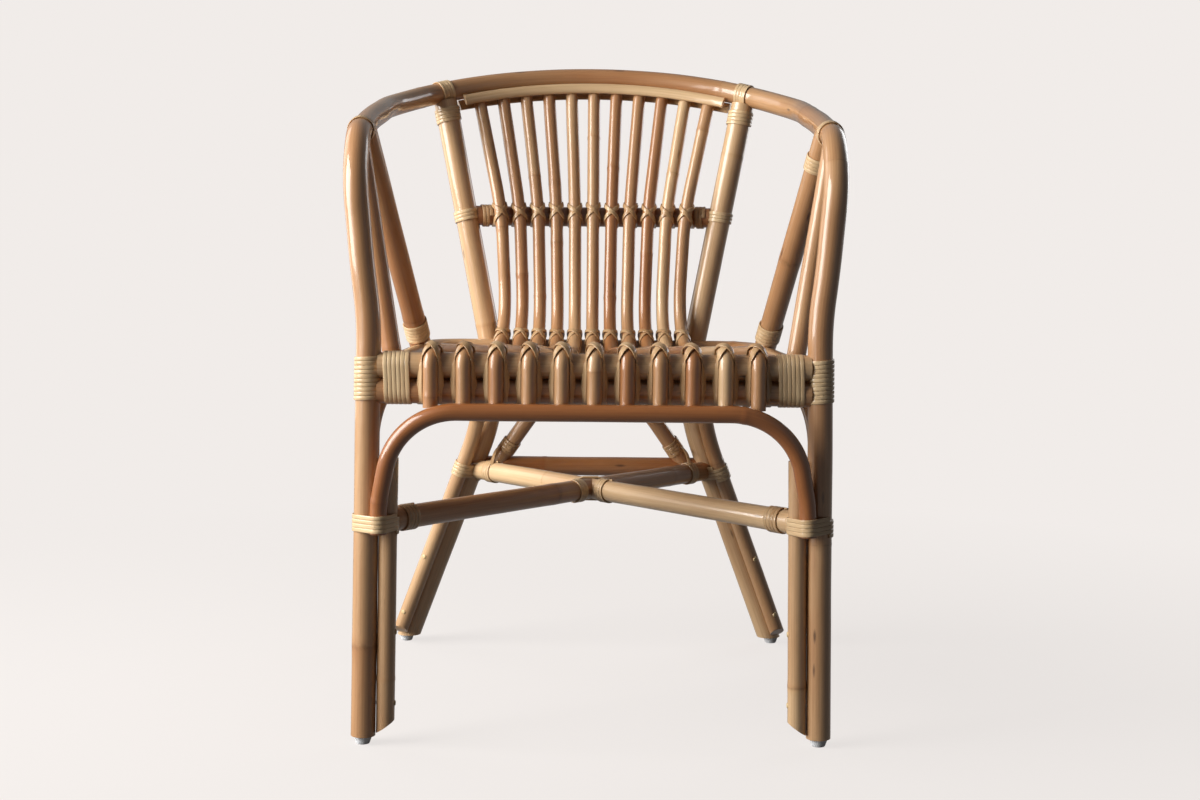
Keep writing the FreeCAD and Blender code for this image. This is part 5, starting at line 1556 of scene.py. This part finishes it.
class CHAIR_OT_stage(bpy.types.Operator):
    """Sets the floor, the lights and the camera"""
    bl_idname = "chair.stage"
    bl_label = "Stage"

    def execute(self, context):
        scene, look = context.scene, context.scene.chair_stage
        scene.view_settings.view_transform = "Standard"
        self.floor(look)
        self.world(scene, look)
        for name, setting, share, shape, at, colour in LAMPS:
            self.lamp(name, getattr(look, setting) * share, shape, at, colour)
        self.camera(scene, look)
        return {"FINISHED"}

    def floor(self, look):
        """Pale floor that fades into the backdrop and throws little light back."""
        bm = bmesh.new()
        bmesh.ops.create_grid(bm, x_segments=8, y_segments=8, size=FLOOR_HALF)
        mesh = plain_mesh(bm, "Floor")
        g, surface = shader("Pale floor")
        path = g.tree.nodes.new("ShaderNodeLightPath")
        dim = tuple(FLOOR_SHARE * c for c in look.backdrop)
        bounced = g.math("MAXIMUM", path.outputs["Is Diffuse Ray"], path.outputs["Is Glossy Ray"])
        dress(g, surface, {"Base Color": mixed(g, bounced, tuple(look.backdrop), dim), "Roughness": 0.9})
        away = g.vmath("LENGTH", object_place(g)).node.outputs["Value"]
        share = span(g, away, SHADE_NEAR, SHADE_FAR, SHADE_GLOW, 1.0)
        glow = g.add("ShaderNodeEmission", (*look.backdrop, 1), 1.0)
        both = g.add("ShaderNodeMixShader", g.math("MULTIPLY", self.seen(g, path), share),
                     surface.outputs[0], glow)
        g.put(g.tree.nodes["Material Output"].inputs[0], both)
        mesh.materials.append(bpy.data.materials["Pale floor"])
        show("Floor", mesh)

    def seen(self, g, path):
        """How much of the pale backdrop a ray sees: all of it, or part in the lacquer's reflections."""
        straight_on = g.math("MAXIMUM", path.outputs["Is Camera Ray"], path.outputs["Is Transmission Ray"])
        part = g.math("MULTIPLY", path.outputs["Is Glossy Ray"], GLOSSY_SHARE)
        return g.math("MAXIMUM", straight_on, part)

    def world(self, scene, look):
        """Pale backdrop that throws little light on the chair."""
        world = bpy.data.worlds.new("Studio")
        scene.world = world
        world.use_nodes = True
        g = Graph(world.node_tree)
        seen = self.seen(g, g.tree.nodes.new("ShaderNodeLightPath"))
        dress(g, g.tree.nodes["Background"], {"Color": (*look.backdrop, 1),
                                              "Strength": span(g, seen, 0.0, 1.0, WORLD_LIGHT, 1.0)})

    def lamp(self, name, power, shape, at, colour):
        """Flat lamp that looks at the chair."""
        data = bpy.data.lights.new(name, "AREA")
        data.energy = power
        data.shape = "RECTANGLE"
        data.size, data.size_y = shape
        data.color = colour
        turn = (LAMP_GOAL - Vector(at)).to_track_quat("-Z", "Y").to_matrix().to_4x4()
        show(name, data).matrix_world = Matrix.Translation(at) @ turn

    def camera(self, scene, look):
        """Camera in front of the chair, a little above its seat and looking slightly down."""
        data = bpy.data.cameras.new("Camera")
        data.lens = look.lens
        data.sensor_width = SENSOR
        level = Vector((math.cos(CAMERA_YAW), -math.sin(CAMERA_YAW), 0))
        ahead = Vector((math.sin(CAMERA_YAW) * math.cos(CAMERA_PITCH),
                        math.cos(CAMERA_YAW) * math.cos(CAMERA_PITCH), -math.sin(CAMERA_PITCH)))
        rise = level.cross(ahead)
        right = level * math.cos(CAMERA_ROLL) + rise * math.sin(CAMERA_ROLL)
        rise = rise * math.cos(CAMERA_ROLL) - level * math.sin(CAMERA_ROLL)
        turn = Matrix((right, rise, -ahead)).transposed().to_4x4()
        body = show("Camera", data)
        body.matrix_world = Matrix.Translation(spot(*CAMERA_AT) * MM) @ turn
        scene.camera = body


class CHAIR_PT_panel(bpy.types.Panel):
    """Lists the steps and the settings of the chair"""
    bl_idname = "CHAIR_PT_panel"
    bl_label = "Cane armchair"
    bl_space_type = "VIEW_3D"
    bl_region_type = "UI"
    bl_category = "Chair"

    def draw(self, context):
        layout = self.layout
        for step in STEPS:
            layout.operator(step.bl_idname)
        for group in (context.scene.chair_cane, context.scene.chair_peel, context.scene.chair_stage):
            box = layout.box()
            for name in group.__annotations__:
                box.prop(group, name)


STEPS = (CHAIR_OT_finishes, CHAIR_OT_hoop, CHAIR_OT_legs, CHAIR_OT_seat_frame, CHAIR_OT_struts,
         CHAIR_OT_back_rail, CHAIR_OT_slats, CHAIR_OT_stretchers, CHAIR_OT_bindings, CHAIR_OT_lashings,
         CHAIR_OT_fittings, CHAIR_OT_stage)
SETTINGS = (("chair_cane", CaneSettings), ("chair_peel", PeelSettings), ("chair_stage", StageSettings))


def register():
    """Registers the settings, the steps and the panel."""
    for name, group in SETTINGS:
        bpy.utils.register_class(group)
        setattr(bpy.types.Scene, name, bpy.props.PointerProperty(type=group))
    for step in STEPS:
        bpy.utils.register_class(step)
    bpy.utils.register_class(CHAIR_PT_panel)


def unregister():
    """Takes them away again, in the opposite order."""
    bpy.utils.unregister_class(CHAIR_PT_panel)
    for step in reversed(STEPS):
        bpy.utils.unregister_class(step)
    for name, group in reversed(SETTINGS):
        delattr(bpy.types.Scene, name)
        bpy.utils.unregister_class(group)


def main():
    """Runs every step."""
    register()
    for step in STEPS:
        family, name = step.bl_idname.split(".")
        getattr(getattr(bpy.ops, family), name)()


if __name__ == "__main__":
    main()
